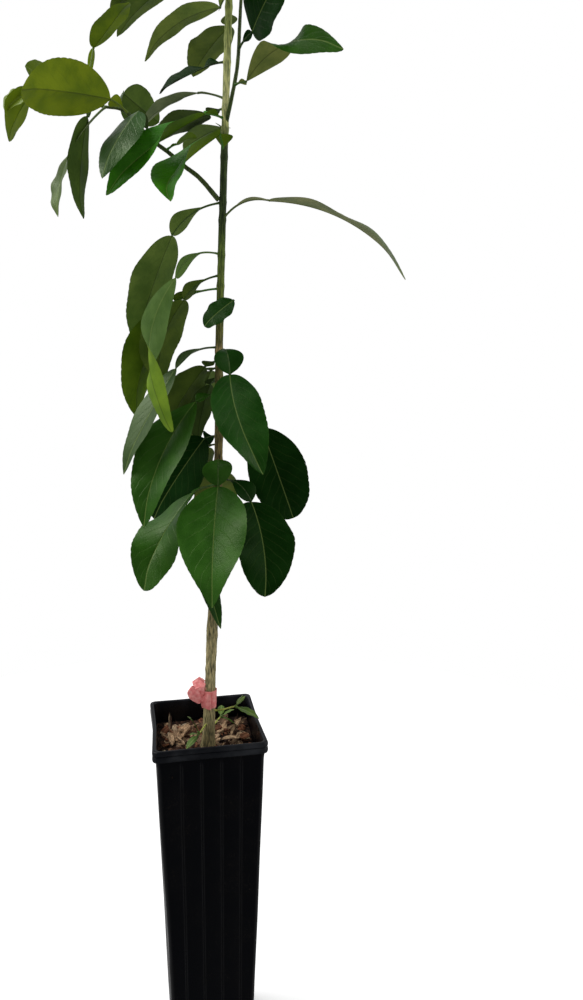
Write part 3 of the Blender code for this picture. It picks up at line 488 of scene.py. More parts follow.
def route_point(points, fraction):
    """A point on the smooth curve through a branch's points, by fraction of its length."""
    knots = [Vector(p) for p in points]
    lengths = [(b - a).length for a, b in zip(knots, knots[1:])]
    goal = fraction * sum(lengths)
    k = 0
    while k < len(lengths) - 1 and goal > lengths[k]:
        goal -= lengths[k]
        k += 1
    t = goal / lengths[k]
    start, end = knots[k], knots[k + 1]
    slope_start = (end - knots[max(k - 1, 0)]) * (0.5 if k else 1.0)
    slope_end = (knots[min(k + 2, len(knots) - 1)] - start) * (0.5 if k < len(knots) - 2 else 1.0)
    return hermite(t, start, slope_start, end, slope_end)


print("The trunk is %.0f mm thick at the mix and %.0f mm at the leader's tip"
      % (2000 * trunk_radius(TRUNK_FOOT), 2000 * trunk_radius(TRUNK_TIP)))

# %% [markdown]
# ## Wood by Geometry Nodes
# A limb is a circle swept along a line, which Geometry Nodes do well: Curve to Mesh takes the
# girth of every point from an attribute.  Ridged noise, stretched upwards, then moves the surface
# in and out, which makes the furrows, and is kept in *relief* for the bark's shader.  The same
# tree makes the trunk, the boughs and the sprouts' stems.

# %% Build the limb tree
GEOMETRY = "NodeSocketGeometry"
FURROW_PUSH = (-0.7, 0.3)       # how far furrows sink and ridges rise, of the furrows' depth
RIDGE_EDGES = (0.3, 0.6)

limb_tree, given, result = new_group(
    "limb", "GeometryNodeTree",
    [("Geometry", GEOMETRY, None), ("Sides", "NodeSocketInt", 12), ("Ring Step", FLOAT, 0.002),
     ("Furrow Depth", FLOAT, 0.0003), ("Furrow Scale", FLOAT, 500.0),
     ("Furrow Stretch", FLOAT, 6.0), ("Material", "NodeSocketMaterial", None)],
    [("Geometry", GEOMETRY)])
tree = limb_tree
line = out(tree, "GeometryNodeMeshToCurve", {0: given["Geometry"]})
steps = out(tree, "GeometryNodeResampleCurve", {"Curve": line, "Length": given["Ring Step"]},
            mode="LENGTH")
round_profile = out(tree, "GeometryNodeCurvePrimitiveCircle",
                    {"Resolution": given["Sides"], "Radius": 1.0})
girth = out(tree, "GeometryNodeInputNamedAttribute", {"Name": "girth"}, "Attribute")
swept = out(tree, "GeometryNodeCurveToMesh",
            {"Curve": steps, "Profile Curve": round_profile, "Scale": girth, "Fill Caps": True})
x, y, z = split(tree, out(tree, "GeometryNodeInputPosition"))
furrow_at = joined(tree, x, y, sum_up(tree, "DIVIDE", z, given["Furrow Stretch"]))
furrows = out(tree, "ShaderNodeTexNoise",
              {"Vector": furrow_at, "Scale": given["Furrow Scale"], "Detail": 3.0})
roughness = out(tree, "GeometryNodeInputNamedAttribute", {"Name": "bark"}, "Attribute")
push = times(tree, times(tree, given["Furrow Depth"], roughness),
             ease(tree, furrows, *RIDGE_EDGES, *FURROW_PUSH))
outward = out(tree, "ShaderNodeVectorMath",
              {0: out(tree, "GeometryNodeInputNormal"), "Scale": push}, operation="SCALE")
marked = out(tree, "GeometryNodeStoreNamedAttribute",
             {"Geometry": swept, "Name": "relief", "Value": furrows},
             data_type="FLOAT", domain="POINT")
pushed = out(tree, "GeometryNodeSetPosition", {"Geometry": marked, "Offset": outward})
smooth = out(tree, "GeometryNodeSetShadeSmooth", {0: pushed})
real = out(tree, "GeometryNodeRealizeInstances", {0: smooth})
tree.links.new(out(tree, "GeometryNodeSetMaterial",
                   {"Geometry": real, "Material": given["Material"]}), result[0])
print("Limb tree has", len(tree.nodes), "nodes")

# %% [markdown]
# ## From meshes to pieces
# A piece is an object with one mesh.  These functions make meshes from lists of points, from
# loops that are joined with faces and from a Geometry Nodes tree.  They also keep a value for each
# point, such as a limb's girth, which a shader or a tree reads again by its name.

# %% Pieces from meshes
def new_piece(name, mesh):
    piece = bpy.data.objects.new(name, mesh)
    bpy.context.scene.collection.objects.link(piece)
    return piece


def plain_mesh(name, points, edges, faces):
    mesh = bpy.data.meshes.new(name)
    mesh.from_pydata(points, edges, faces)
    return mesh


def mark(mesh, label, values, kind="FLOAT", field="value"):
    """Keep a value for each point of a mesh."""
    mesh.attributes.new(label, kind, "POINT").data.foreach_set(field, values)


def smoothed(mesh, angle):
    """Smooth a mesh, but not where two faces meet at more than an angle."""
    mesh.shade_smooth()
    mesh.set_sharp_from_angle(angle=radians(angle))


def modified_mesh(piece):
    """A piece's mesh as its modifiers leave it."""
    seen = bpy.context.evaluated_depsgraph_get()
    return bpy.data.meshes.new_from_object(piece.evaluated_get(seen), depsgraph=seen,
                                           preserve_all_data_layers=True)


def grown(name, seed_object, tree, values):
    """Run a Geometry Nodes tree on an object, and keep its result as a plain mesh."""
    modifier = seed_object.modifiers.new(tree.name, "NODES")
    modifier.node_group = tree
    for socket in tree.interface.items_tree:
        if socket.item_type == "SOCKET" and socket.name in values:
            modifier[socket.identifier] = values[socket.name]
    mesh = modified_mesh(seed_object)
    mesh.name = name
    bpy.data.objects.remove(seed_object)
    return new_piece(name, mesh)


def line_object(name, lines):
    """Polylines as a mesh of edges; each point is a middle, a girth and a bark roughness."""
    edges = []
    first = 0
    for line in lines:
        edges += [(first + k, first + k + 1) for k in range(len(line) - 1)]
        first += len(line)
    rows = [row for line in lines for row in line]
    mesh = plain_mesh(name, [middle for middle, _, _ in rows], edges, [])
    for label, column in (("girth", 1), ("bark", 2)):
        mark(mesh, label, [row[column] for row in rows])
    return new_piece(name, mesh)


def grown_limb(name, lines, sides, step, furrows, material):
    """Limbs along lines; furrows are given by depth, scale and stretch."""
    return grown(name, line_object(name + "_line", lines), limb_tree,
                 {"Sides": sides, "Ring Step": step, "Furrow Depth": furrows[0],
                  "Furrow Scale": furrows[1], "Furrow Stretch": furrows[2], "Material": material})


def bridge(bm, loops):
    """Join each loop of points to the next with faces."""
    count = len(loops[0])
    for low, high in zip(loops, loops[1:]):
        for k in range(count):
            n = (k + 1) % count
            bm.faces.new((low[k], low[n], high[n], high[k]))


def close_ends(bm, loops):
    """Close the first and the last loop."""
    bm.faces.new(list(reversed(loops[0])))
    bm.faces.new(loops[-1])


def mesh_of(bm, name, finish=None):
    """What a bmesh holds, as a mesh with its finish."""
    mesh = bpy.data.meshes.new(name)
    bm.to_mesh(mesh)
    bm.free()
    if finish:
        mesh.materials.append(finish)
    return mesh


print("Mesh helpers ready")

# %% [markdown]
# ## The trunk
# Where a leaf grows the trunk swells a little, so every node of the tree shows, also where its
# leaf has dropped.  The bark is rough on the old rootstock, roughest at the bud union, and nearly
# smooth on the young green wood.  Ridges that run into the roots widen the trunk's foot.

# %% Build the trunk
TRUNK_SIDES, TRUNK_STEP = 44, 0.0014
TRUNK_FURROWS = (0.0007, 620.0, 7.0)        # depth, scale and stretch
LINE_STEP = 0.002
NODE_SWELL = 0.00045
NODE_REACH = 0.0022
BARE_NODES = (0.410, 0.486, 0.509, 0.531, 0.552, 0.868, 0.957)     # nodes without a leaf
LEAF_NODES = (0.576, 0.592, 0.611, 0.634, 0.653, 0.673, 0.688, 0.709, 0.737, 0.764, 0.790,
              0.818, 0.832, 0.889, 0.905, 0.940, 0.980, 1.007, 1.028, 1.054, 1.078, 1.102, 1.126)
BARK_ROUGHNESS = ((TRUNK_FOOT, 1.0), (0.400, 1.0), (0.447, 1.25), (0.475, 1.1), (0.560, 0.95),
                  (0.690, 0.65), (0.709, 0.9), (0.730, 0.5), (0.800, 0.30), (0.900, 0.22),
                  (TRUNK_TIP, 0.15))
ROOT_RIDGES = 5
ROOT_RIDGE_SHARE = 0.12
ROOT_FLARE_HEIGHT = 0.010


def swelling(height):
    """How much a node near this height thickens the trunk."""
    return sum(NODE_SWELL * exp(-((height - node) / NODE_REACH)**2)
               for node in BARE_NODES + LEAF_NODES)


def build_trunk():
    """The trunk's wood, with its foot widened by the ridges that run into the roots."""
    steps = int((TRUNK_TIP - TRUNK_FOOT + TRUNK_SUNK) / LINE_STEP)
    line = []
    for k in range(steps + 1):
        height = TRUNK_FOOT - TRUNK_SUNK + (TRUNK_TIP - TRUNK_FOOT + TRUNK_SUNK) * k / steps
        middle = trunk_axis(max(height, TRUNK_FOOT))
        middle.z = height
        girth = trunk_radius(max(height, TRUNK_FOOT)) + swelling(height)
        line.append((middle, girth, stations_value(BARK_ROUGHNESS, max(height, TRUNK_FOOT))))
    trunk = grown_limb("trunk_wood", [line], TRUNK_SIDES, TRUNK_STEP, TRUNK_FURROWS, bark)
    foot = trunk_axis(TRUNK_FOOT)
    for corner in trunk.data.vertices:
        flare = exp(-max(corner.co.z - TRUNK_FOOT, 0.0) / ROOT_FLARE_HEIGHT)
        turn = atan2(corner.co.y - foot.y, corner.co.x - foot.x)
        push = ROOT_RIDGE_SHARE * flare * cos(ROOT_RIDGES * turn)
        corner.co.x += (corner.co.x - foot.x) * push
        corner.co.y += (corner.co.y - foot.y) * push
    return trunk


trunk = build_trunk()
print("Trunk:", len(trunk.data.polygons), "faces")

# %% [markdown]
# ## Side branches
# Each bough and the shoot that goes on from it are one limb here, which starts inside the trunk,
# so that no gap shows.  The three small shoots from the rootstock have stems of the same kind.

# %% Build the side branches
BOUGH_SIDES, BOUGH_STEP, BOUGH_FURROWS = 20, 0.0014, (0.0004, 800.0, 4.0)
BOUGH_ROUGHNESS = 0.5
LEFT_RADII, RIGHT_RADII = (0.0021, 0.0008), (0.0017, 0.0008)        # at the foot and the tip
SPROUT_SIDES, SPROUT_STEP, SPROUT_FURROWS = 12, 0.0012, (0.0002, 900.0, 3.0)
SPROUT_ROUGHNESS = 0.4
SPROUT_RADII = (0.0010, 0.0007)
LIMB_POINTS = 60


def limb_line(route, radii, roughness):
    """A route's points with the girth going evenly from the first radius to the second."""
    line = []
    for k in range(LIMB_POINTS + 1):
        t = k / LIMB_POINTS
        line.append((route_point(route, t), radii[0] + (radii[1] - radii[0]) * t, roughness))
    return line


def build_limb(name, route, radii):
    return grown_limb(name, [limb_line(route, radii, BOUGH_ROUGHNESS)], BOUGH_SIDES, BOUGH_STEP,
                      BOUGH_FURROWS, green_wood)


left_limb = build_limb("left_limb", LEFT_BOUGH + LEFT_SHOOT[1:], LEFT_RADII)
right_limb = build_limb("right_limb", RIGHT_BOUGH + RIGHT_SHOOT[1:], RIGHT_RADII)
sprout_lines = [limb_line(route, SPROUT_RADII, SPROUT_ROUGHNESS) for route in SPROUTS.values()]
sprout_stems = grown_limb("sprout_stems", sprout_lines, SPROUT_SIDES, SPROUT_STEP,
                          SPROUT_FURROWS, sprout_wood)
print("Branches:", left_limb.name, right_limb.name, sprout_stems.name)

# %% [markdown]
# ## Every leaf's place
# A grapefruit leaf has a petiole, then a winged stretch shaped like a heart, then a joint and the
# blade.  Each leaf's stalk and blade are straight lines from point to point, given by bearing,
# rise and length, and the shape bows around them.  The list repeats the solid model's numbers, so
# each fine leaf fills the place of its plain one.

# %% Leaf table
# One leaf's measures; stalk and blade are (bearing, rise, length in mm)
Leaf = namedtuple(
    "Leaf", "name base stalk blade width roll arch bend twist fold wing lift heel point",
    defaults=(0, 0.04, 0.0, 0, 12, 0.014, 0.05, 0.62, 0.72))


TRUNK_LEAVES = (
    Leaf("leaf_low_behind", 0.576, (225, -30, 30), (287, -60, 96), 0.024, roll=-15, bend=0.10),
    Leaf("leaf_low_left", 0.590, (211, -6, 28), (228, -42, 100), 0.048, roll=30, bend=0.04,
         twist=65, heel=0.75, point=0.55),
    Leaf("leaf_low_right", 0.594, (314, -21, 40), (272, -46, 90), 0.055, roll=-5, bend=-0.04,
         wing=0.024, lift=0.20, point=0.50),
    Leaf("leaf_low_front", 0.611, (262, -26, 35), (259, -41, 116), 0.062, roll=6, arch=0.06,
         fold=20, wing=0.028, lift=0.34, heel=0.78, point=0.88),
    Leaf("leaf_dark_left", 0.634, (124, -13, 20), (165, -57, 92), 0.054, roll=-65, point=0.55),
    Leaf("leaf_dark_right", 0.653, (7, -19, 42), (18, -69, 96), 0.055, roll=110, point=0.48),
    Leaf("leaf_big_left", 0.673, (188, -19, 22), (232, -47, 124), 0.047, roll=-5, bend=0.05,
         fold=18, heel=0.95),
    Leaf("leaf_olive_small", 0.688, (115, -32, 18), (134, -73, 55), 0.030, roll=10),
    Leaf("leaf_olive_mid", 0.701, (130, -21, 18), (171, -57, 62), 0.038, roll=45),
    Leaf("leaf_mid_front", 0.708, (280, -28, 34), (285, -46, 98), 0.046, roll=8, bend=0.07,
         fold=16, wing=0.027, lift=0.34, point=0.74),
    Leaf("leaf_narrow_left", 0.712, (179, -25, 42), (220, -51, 104), 0.030, roll=5, bend=-0.03,
         wing=0.020, lift=0.15),
    Leaf("leaf_young_oval", 0.737, (298, 38, 26), (177, -40, 33), 0.023, roll=-45, fold=4,
         wing=0.004, point=0.45),
    Leaf("leaf_outer_left", 0.762, (141, -14, 49), (173, -69, 108), 0.050, roll=40, bend=-0.06,
         wing=0.018, point=0.60),
    Leaf("leaf_inner_left", 0.773, (174, -33, 38), (129, -65, 80), 0.044, roll=10, bend=-0.08,
         wing=0.018, lift=0.12, point=0.60),
    Leaf("leaf_twisted_left", 0.790, (185, -26, 44), (262, -63, 134), 0.029, roll=-28,
         twist=115, arch=-0.05, bend=0.15, wing=0.012, lift=0.22, heel=0.80, point=0.50),
    Leaf("leaf_arching_right", 0.818, (325, 19, 46), (328, -26, 131), 0.044, roll=-5, arch=0.11,
         fold=10, lift=0.15),
    Leaf("leaf_hanging_left", 0.832, (160, -31, 52), (136, -65, 104), 0.042, roll=20,
         wing=0.022, lift=0.12, point=0.60),
    Leaf("leaf_bright_left", 0.870, (244, 52, 18), (228, -38, 88), 0.038, roll=22, bend=0.25,
         twist=32, fold=26, wing=0.020, heel=0.42, point=0.65),
    Leaf("leaf_veined_left", 0.889, (90, 12, 20), (118, -12, 60), 0.026, roll=10),
    Leaf("leaf_long_left", 0.897, (206, 6, 20), (188, -37, 104), 0.036, roll=2, bend=-0.03,
         twist=70, fold=28, heel=0.85),
    Leaf("leaf_olive_upper", 0.905, (128, -8, 20), (131, -14, 66), 0.032, roll=15),
    Leaf("leaf_thin_stalked", 0.912, (144, 14, 27), (127, -14, 73), 0.020, fold=20, bend=-0.02,
         wing=0.006, heel=0.81, point=0.64),
    Leaf("leaf_dark_upper", 0.940, (151, -9, 20), (137, -17, 50), 0.018, roll=-43, bend=-0.06,
         fold=23, heel=1.07, point=0.40),
    Leaf("leaf_broad_upper", 0.978, (81, -12, 26), (117, -27, 64), 0.037, twist=-5, fold=8,
         heel=0.73, point=0.65),
    Leaf("leaf_drooping_upper", 0.991, (230, -46, 20), (212, -33, 89), 0.019, roll=56,
         bend=-0.07, twist=-14, fold=19, point=0.66),
    Leaf("leaf_top_left_a", 1.007, (141, 15, 32), (138, -26, 96), 0.034, roll=5),
    Leaf("leaf_top_left_b", 1.028, (149, 21, 32), (141, -32, 108), 0.034, roll=5),
    Leaf("leaf_far_low_a", 0.602, (78, -12, 30), (95, -60, 84), 0.044),
    Leaf("leaf_far_low_b", 0.626, (104, -14, 30), (122, -56, 84), 0.042, roll=10),
    Leaf("leaf_far_mid_a", 0.663, (60, -5, 30), (36, -62, 80), 0.044, roll=-10),
    Leaf("leaf_far_mid_b", 0.694, (98, -10, 28), (116, -60, 80), 0.040),
)
RIGHT_BOUGH_LEAVES = (
    Leaf("leaf_curled_right", 0.22, (305, 4, 14), (304, 6, 104), 0.026, roll=-45, arch=0.06,
         bend=0.13, twist=-145, fold=2, wing=0.006, heel=1.1, point=0.60),
    Leaf("leaf_upright_right", 0.42, (293, 22, 22), (284, 25, 78), 0.044, roll=105, wing=0.008,
         point=0.60),
)
LEFT_SHOOT_LEAVES = (
    Leaf("small", 0.02, (340, 30, 10), (49, 17, 30), 0.014, roll=-40, wing=0.004),
    Leaf("glossy", 0.14, (218, 56, 24), (242, -39, 87), 0.031, roll=4, fold=-14, wing=0.012,
         heel=0.51, point=0.80),
    Leaf("folded", 0.42, (85, 20, 64), (48, -20, 50), 0.034, roll=-65, wing=0.006, point=0.50),
    Leaf("large", 0.36, (222, 24, 20), (227, -4, 95), 0.047, roll=60, fold=17, wing=0.012,
         point=0.60),
    Leaf("hanging_narrow", 0.52, (213, -48, 52), (249, -55, 60), 0.022, roll=40, wing=0.015),
    Leaf("hanging_long", 0.60, (242, -45, 16), (259, -62, 92), 0.026, roll=115, wing=0.006),
    Leaf("rising", 0.64, (73, 64, 50), (301, 25, 60), 0.026, roll=5, bend=-0.05, wing=0.006),
    Leaf("tip_upper", 0.86, (133, 30, 10), (236, 22, 27), 0.024, roll=-85, wing=0.004,
         point=0.50),
    Leaf("tip_left", 0.94, (235, -14, 10), (218, -34, 34), 0.022, roll=-20, wing=0.004,
         point=0.55),
    Leaf("tip_hanging", 0.99, (236, -49, 6), (232, -52, 52), 0.034, roll=70, wing=0.004),
)
print("Leaves with places of their own:",
      len(TRUNK_LEAVES) + len(RIGHT_BOUGH_LEAVES) + len(LEFT_SHOOT_LEAVES))

# %% [markdown]
# ## Leaves that a rule places
# The leader's last leaves stand in a spiral of 137.5 degrees a step, which keeps each leaf out of
# the shade of the last few.  They shrink and rise towards the tip.  The right shoot's five leaves
# fan out on the side away from the leader, and each rootstock sprout has three leaflets.

# %% Leaf rules
# A pair is a value at the first leaf, and how much it has changed at the last
Rule = namedtuple("Rule", "turn roll stalk_rise stalk_length blade_rise blade_length width wing "
                          "arch")
LEADER_RULE = Rule(14, 15, (20, 45), (26, -12), (-22, 82), (92, -50), (0.042, -0.022),
                   (0.012, -0.007), 0.06)
LEADER_SEED = 11
LEADER_FROM = 1.046
LEADER_COUNT = 10
LEADER_SPACING = 0.9
LEADER_BEARING = 208
LEADER_SPREAD = 8
SPIRAL_STEP = 137.5
RIGHT_RULE = Rule(10, 12, (25, 25), (20, -8), (-15, 60), (84, -34), (0.036, -0.014),
                  (0.006, 0.0), 0.04)
RIGHT_SEED = 4
RIGHT_BEARINGS = (-62, 48, -10, 84, 10)
RIGHT_BASE = (0.10, 0.86)
SPROUT_LEAFLETS = {             # bearing and rise, then length in mm
    "sprout_right": (((343, 58), 14), ((326, -16), 26), ((40, 20), 15)),
    "sprout_left": (((222, -23), 20), ((214, 16), 12), ((190, 62), 23)),
    "sprout_behind": (((18, -40), 24), ((80, 10), 18), ((350, 30), 15)),
}
LEAFLET_SHAPE = 0.40
LEAFLET_STALK = 3
LEAFLET_BASE = 0.97


def shifted(pair, t):
    """A value that starts at the pair's first number and has changed by its second at t = 1."""
    return pair[0] + pair[1] * t


def ruled_leaf(name, base, bearing, t, rule, draw):
    """A leaf by a rule; t goes from 0 at the first leaf to 1 at the last."""
    turn = draw.uniform(-rule.turn, rule.turn)
    stalk = (bearing, shifted(rule.stalk_rise, t), shifted(rule.stalk_length, t))
    blade = (bearing + turn, shifted(rule.blade_rise, t), shifted(rule.blade_length, t))
    roll = draw.uniform(-rule.roll, rule.roll)
    return Leaf(name, base, stalk, blade, shifted(rule.width, t), roll, rule.arch,
                wing=shifted(rule.wing, t))


def leader_leaves():
    draw = Random(LEADER_SEED)
    reach = TRUNK_TIP - TRUNK_GIRTH[-1][1] - LEADER_FROM
    leaves = []
    for k in range(LEADER_COUNT):
        t = k / (LEADER_COUNT - 1)
        bearing = LEADER_BEARING + SPIRAL_STEP * k
        bearing += draw.uniform(-LEADER_SPREAD, LEADER_SPREAD)
        leaves.append(ruled_leaf("leaf_top_%02d" % (k + 1), LEADER_FROM + reach * t**LEADER_SPACING,
                                 bearing, t, LEADER_RULE, draw))
    return [spec for spec in leaves if spec.name in frame["nodes"]]


def right_shoot_leaves():
    draw = Random(RIGHT_SEED)
    leaves = []
    for k, bearing in enumerate(RIGHT_BEARINGS):
        t = k / (len(RIGHT_BEARINGS) - 1)
        leaves.append(ruled_leaf("right_%d" % k, shifted(RIGHT_BASE, t), bearing, t, RIGHT_RULE,
                                 draw))
    return leaves


def leaflets(sprout):
    """The three leaflets of a rootstock sprout."""
    return [Leaf("%s_%d" % (sprout, k), LEAFLET_BASE, (*way, LEAFLET_STALK),
                 (*way, length - LEAFLET_STALK), LEAFLET_SHAPE * length * MM, fold=8,
                 wing=0.001, lift=0.0)
            for k, (way, length) in enumerate(SPROUT_LEAFLETS[sprout])]


print("Leader leaves kept clear of their neighbours:", len(leader_leaves()))

# %% [markdown]
# ## Leaf colours
# A few plain colours are dealt out leaf by leaf, by how old the leaf is and how much light gets
# to it, so some colours paint light and shade in: shade leaves low on the right get a near-black
# painted shade, the young shoot at the upper left gets the most yellow colour as painted light
# shining through it, and one narrow leaf gets a painted grey sheen.  A small random change keeps
# any two apart.

# %% Leaf colours
GREENS = {                      # the upper and the under side, the grade of the wax, whose it is
    # painted shade: the near-black upper colour stands in for the shade that these low leaves hang
    # in
    "shade": ((12, 44, 8), (40, 58, 22), "dull",
              ("leaf_low_right", "leaf_dark_right", "leaf_upright_right", "leaf_dark_left",
               "leaf_dark_upper")),
    "deep": ((22, 64, 12), (52, 70, 28), "soft",
             ("leaf_low_behind", "leaf_mid_front", "leaf_olive_small", "leaf_young_oval")),
    "fresh": ((40, 82, 15), (68, 88, 36), "waxed",
              ("leaf_low_left", "leaf_low_front", "leaf_big_left", "leaf_olive_upper")),
    "bright": ((54, 118, 16), (84, 112, 22), "soft",
               ("leaf_bright_left", "leaf_long_left", "leaf_outer_left", "small")),
    "olive": ((48, 78, 20), (96, 116, 50), "waxed",
              ("leaf_hanging_left", "leaf_veined_left", "leaf_broad_upper",
               "leaf_drooping_upper", "leaf_top_left_a", "leaf_top_left_b")),
    "deep olive": ((42, 74, 16), (74, 96, 34), "waxed",
                   ("folded", "leaf_olive_mid", "leaf_inner_left", "hanging_long")),
    "pale olive": ((84, 102, 52), (134, 144, 102), "waxed",
                   ("leaf_arching_right", "leaf_thin_stalked", "hanging_narrow")),
    "curled": ((40, 84, 14), (112, 126, 66), "soft", ("leaf_curled_right",)),
    # painted light: the bright yellow-green on both sides stands in for light shining through these
    # leaves
    "lit": ((100, 122, 22), (112, 134, 26), "waxed",
            ("large", "rising", "tip_upper", "tip_left", "tip_hanging")),
    "lime": ((88, 120, 56), (106, 136, 38), "waxed", ("leaf_twisted_left",)),
    # painted sheen: the grey cast of this leaf's colours stands in for its grey sheen
    "sheen grey": ((58, 82, 46), (84, 102, 66), "waxed", ("leaf_narrow_left",)),
    "glossy": ((34, 78, 22), (68, 88, 36), "glossy", ("glossy",)),
    "sprout": ((70, 94, 34), (74, 92, 40), "waxed", ()),
}
GREEN_OF = {name: green for green, row in GREENS.items() for name in row[-1]}
USUAL_GREENS = ("deep", "fresh", "olive")
GREEN_SPREAD = 0.07


def leaf_greens(name, draw):
    """A leaf's plain base colours, above and below, and its wax, by its own or a usual name."""
    usual = "sprout" if name.startswith("sprout") else draw.choice(USUAL_GREENS)
    light = draw.uniform(1 - GREEN_SPREAD, 1 + GREEN_SPREAD)
    warm = draw.uniform(1 - GREEN_SPREAD, 1 + GREEN_SPREAD)
    change = (light * warm, light, light / warm, 1.0)
    above, below, wax, _ = GREENS[GREEN_OF.get(name, usual)]
    return [tuple(channel * share for channel, share in zip(screen(*colour), change))
            for colour in (above, below)], wax


print("Plain leaf colours:", ", ".join(GREENS))

# %% [markdown]
# ## The shape of one leaf
# A leaf is a thin closed strip.  Its cross-sections follow the midrib, and each is folded a little
# at the midrib, bulges between the lateral veins, and has a raised rib below and a groove above.
# The edges wave, and from the middle of the blade to the tip they have the small rounded teeth of
# citrus.  The petiole is a round stalk that starts inside the wood and runs on into the midrib.

# %% Leaf sections
PETIOLE_HALF = 0.0010
TIP_HALF = 0.0004
PETIOLE_SHARE = 0.28
PETIOLE_OF_WIDTH = 0.1
TURN_END = 0.75
LEAST_ACROSS = 0.2
TWIST_EVEN = 0.4                # the share of a twist spread over the whole blade
LAMINA = 0.00042                # a blade's thickness
LAMINA_OF_LENGTH = 0.012        # for a small leaf, of its length
STATION_STEP = 0.00125
EVEN_SHARE, CROWDED_SHARE = 0.55, 0.45      # of the sections: evenly set, or closer at the ends
LEAST_SECTIONS, LEAST_WING_SECTIONS = 16, 4
BLADE_PEAK = 0.86               # below 1 a blade is widest before its middle, above 1 past it
POINT_FROM = (0.3, 0.8)         # where a blade's outline turns from its heel's to its point's
WING_PEAK, WING_FULLNESS = 1.9, 0.55
WING_LEAST = 0.6                # the wing's least width, of the petiole's
CURL_FROM = (0.7, 1.0)
TWIST_FROM = (0.3, 0.75)
RIB_COLUMNS = ((0.00035, 0.10), (0.0008, 0.22), (0.0015, 0.36))    # distance, or share if less
BLADE_COLUMNS = (0.20, 0.38, 0.56, 0.74, 0.90, 1.0)
TOOTH_SPACING = 0.0058
TOOTH_DEPTH = 0.00055
FULL_WIDTH = 0.045               # narrower leaves have smaller teeth, ribs and bulges
TOOTH_OF_WIDTH = 0.03            # the deepest tooth of a narrow leaf, of its width
TEETH_FROM = (0.12, 0.45)
TEETH_TO = (0.96, 1.0)
GROOVE_DEPTH = 0.00022
RIB_HEIGHT = 0.00075
QUILT_HEIGHT = 0.00028
WAVE_HEIGHT = 0.030             # of the blade's width
TIP_CURL = 0.030                # of the blade's length


def ramp(start, end, value):
    t = min(max((value - start) / (end - start), 0.0), 1.0)
    return t * t * (3 - 2 * t)


def leaf_axes(bearing, rise, roll):
    """Along, side and upper-face directions of a leaf that points where bearing and rise say."""
    b, r, q = radians(bearing), radians(rise), radians(roll)
    along = Vector((cos(b) * cos(r), sin(b) * cos(r), sin(r)))
    over = Vector((-cos(b) * sin(r), -sin(b) * sin(r), cos(r)))
    face = over * cos(q) + along.cross(over) * sin(q)
    return along, along.cross(face), face


def blade_half(t, width, heel, point):
    """Half the blade's width; a low heel makes a round base, and a high point a sharp tip."""
    sharpness = heel + (point - heel) * ramp(*POINT_FROM, t)
    return 0.5 * width * max(sin(pi * t**BLADE_PEAK), 0.0)**sharpness


def wing_half(t, width):
    """Half the wing's width, which is heart-shaped: widest near the joint."""
    return 0.5 * width * max(sin(pi * t**WING_PEAK), 0.0)**WING_FULLNESS


def stalk_middle(foot, spec, t):
    bearing, rise, length = spec.stalk
    along, _, over = leaf_axes(bearing, rise, 0)
    reach = length * MM
    return foot + along * reach * t + over * spec.lift * reach * 4 * t * (1 - t)


def stalk_sides(spec):
    """The side directions at the stalk's start and at its joint with the blade."""
    along, _, _ = leaf_axes(*spec.stalk[:2], 0)
    _, blade_side, _ = leaf_axes(*spec.blade[:2], spec.roll)
    end_side = blade_side - along * blade_side.dot(along)
    start_side = along.cross(Vector((0, 0, 1)))
    if end_side.length < LEAST_ACROSS:
        end_side = start_side.copy()
    if start_side.length < LEAST_ACROSS:
        start_side = end_side.copy()
    end_side.normalize()
    start_side.normalize()
    if start_side.dot(end_side) < 0:
        start_side = -start_side
    return along, start_side, end_side


def wing_sections(foot, spec):
    """Middle, side, face, half width and share of the blade of each section of the wing."""
    along, start_side, end_side = stalk_sides(spec)
    count = max(int(spec.stalk[2] * MM * (1 - PETIOLE_SHARE) / STATION_STEP),
                LEAST_WING_SECTIONS)
    petiole = min(PETIOLE_HALF, PETIOLE_OF_WIDTH * spec.width) * WING_LEAST
    sections = []
    for k in range(count):
        share = k / count
        t = PETIOLE_SHARE + (1 - PETIOLE_SHARE) * share
        side = start_side.lerp(end_side, min(t / TURN_END, 1.0)).normalized()
        half = max(wing_half(share, spec.wing), petiole)
        sections.append((stalk_middle(foot, spec, t), side, side.cross(along), half, share - 1))
    return sections


def blade_sections(foot, spec, shift):
    """The same for the blade, where the last number runs from 0 to 1."""
    along, blade_side, blade_face = leaf_axes(*spec.blade[:2], spec.roll)
    length = spec.blade[2] * MM
    joint = stalk_middle(foot, spec, 1.0)
    count = max(int(length / STATION_STEP), LEAST_SECTIONS)
    sections = []
    for k in range(count + 1):
        even = k / count
        t = EVEN_SHARE * even + CROWDED_SHARE * 0.5 * (1 - cos(pi * even))
        bow = 4 * t * (1 - t) * length
        curl = TIP_CURL * length * ramp(*CURL_FROM, t)**2
        middle = (joint + along * length * t + blade_face * (spec.arch * bow - curl)
                  + blade_side * spec.bend * bow)
        gained = TWIST_EVEN * t + (1 - TWIST_EVEN) * ramp(*TWIST_FROM, t)
        turn = radians(spec.twist) * gained
        side = blade_side * cos(turn) + blade_face * sin(turn)
        face = blade_face * cos(turn) - blade_side * sin(turn)
        notch = (1 - abs(sin(pi * (t * length / TOOTH_SPACING + shift))))**2
        here = ramp(*TEETH_FROM, t) * (1 - ramp(*TEETH_TO, t))
        tooth = TOOTH_DEPTH * min(spec.width / FULL_WIDTH, 1.0) * notch * here
        half = blade_half(t, spec.width, spec.heel, spec.point)
        half = max(half - min(tooth, TOOTH_OF_WIDTH * spec.width), TIP_HALF)
        sections.append((middle, side, face, half, t))
    return sections


print("Each blade has a section every %.2f mm" % (1000 * STATION_STEP))

# %% [markdown]
# ## From sections to a mesh
# The points of all sections, their faces and what the shaders need to know are gathered in plain
# lists, and one mesh is made for a whole group of leaves.  Each point keeps the leaf's colour, its
# distance from the midrib and its place on the leaf map.

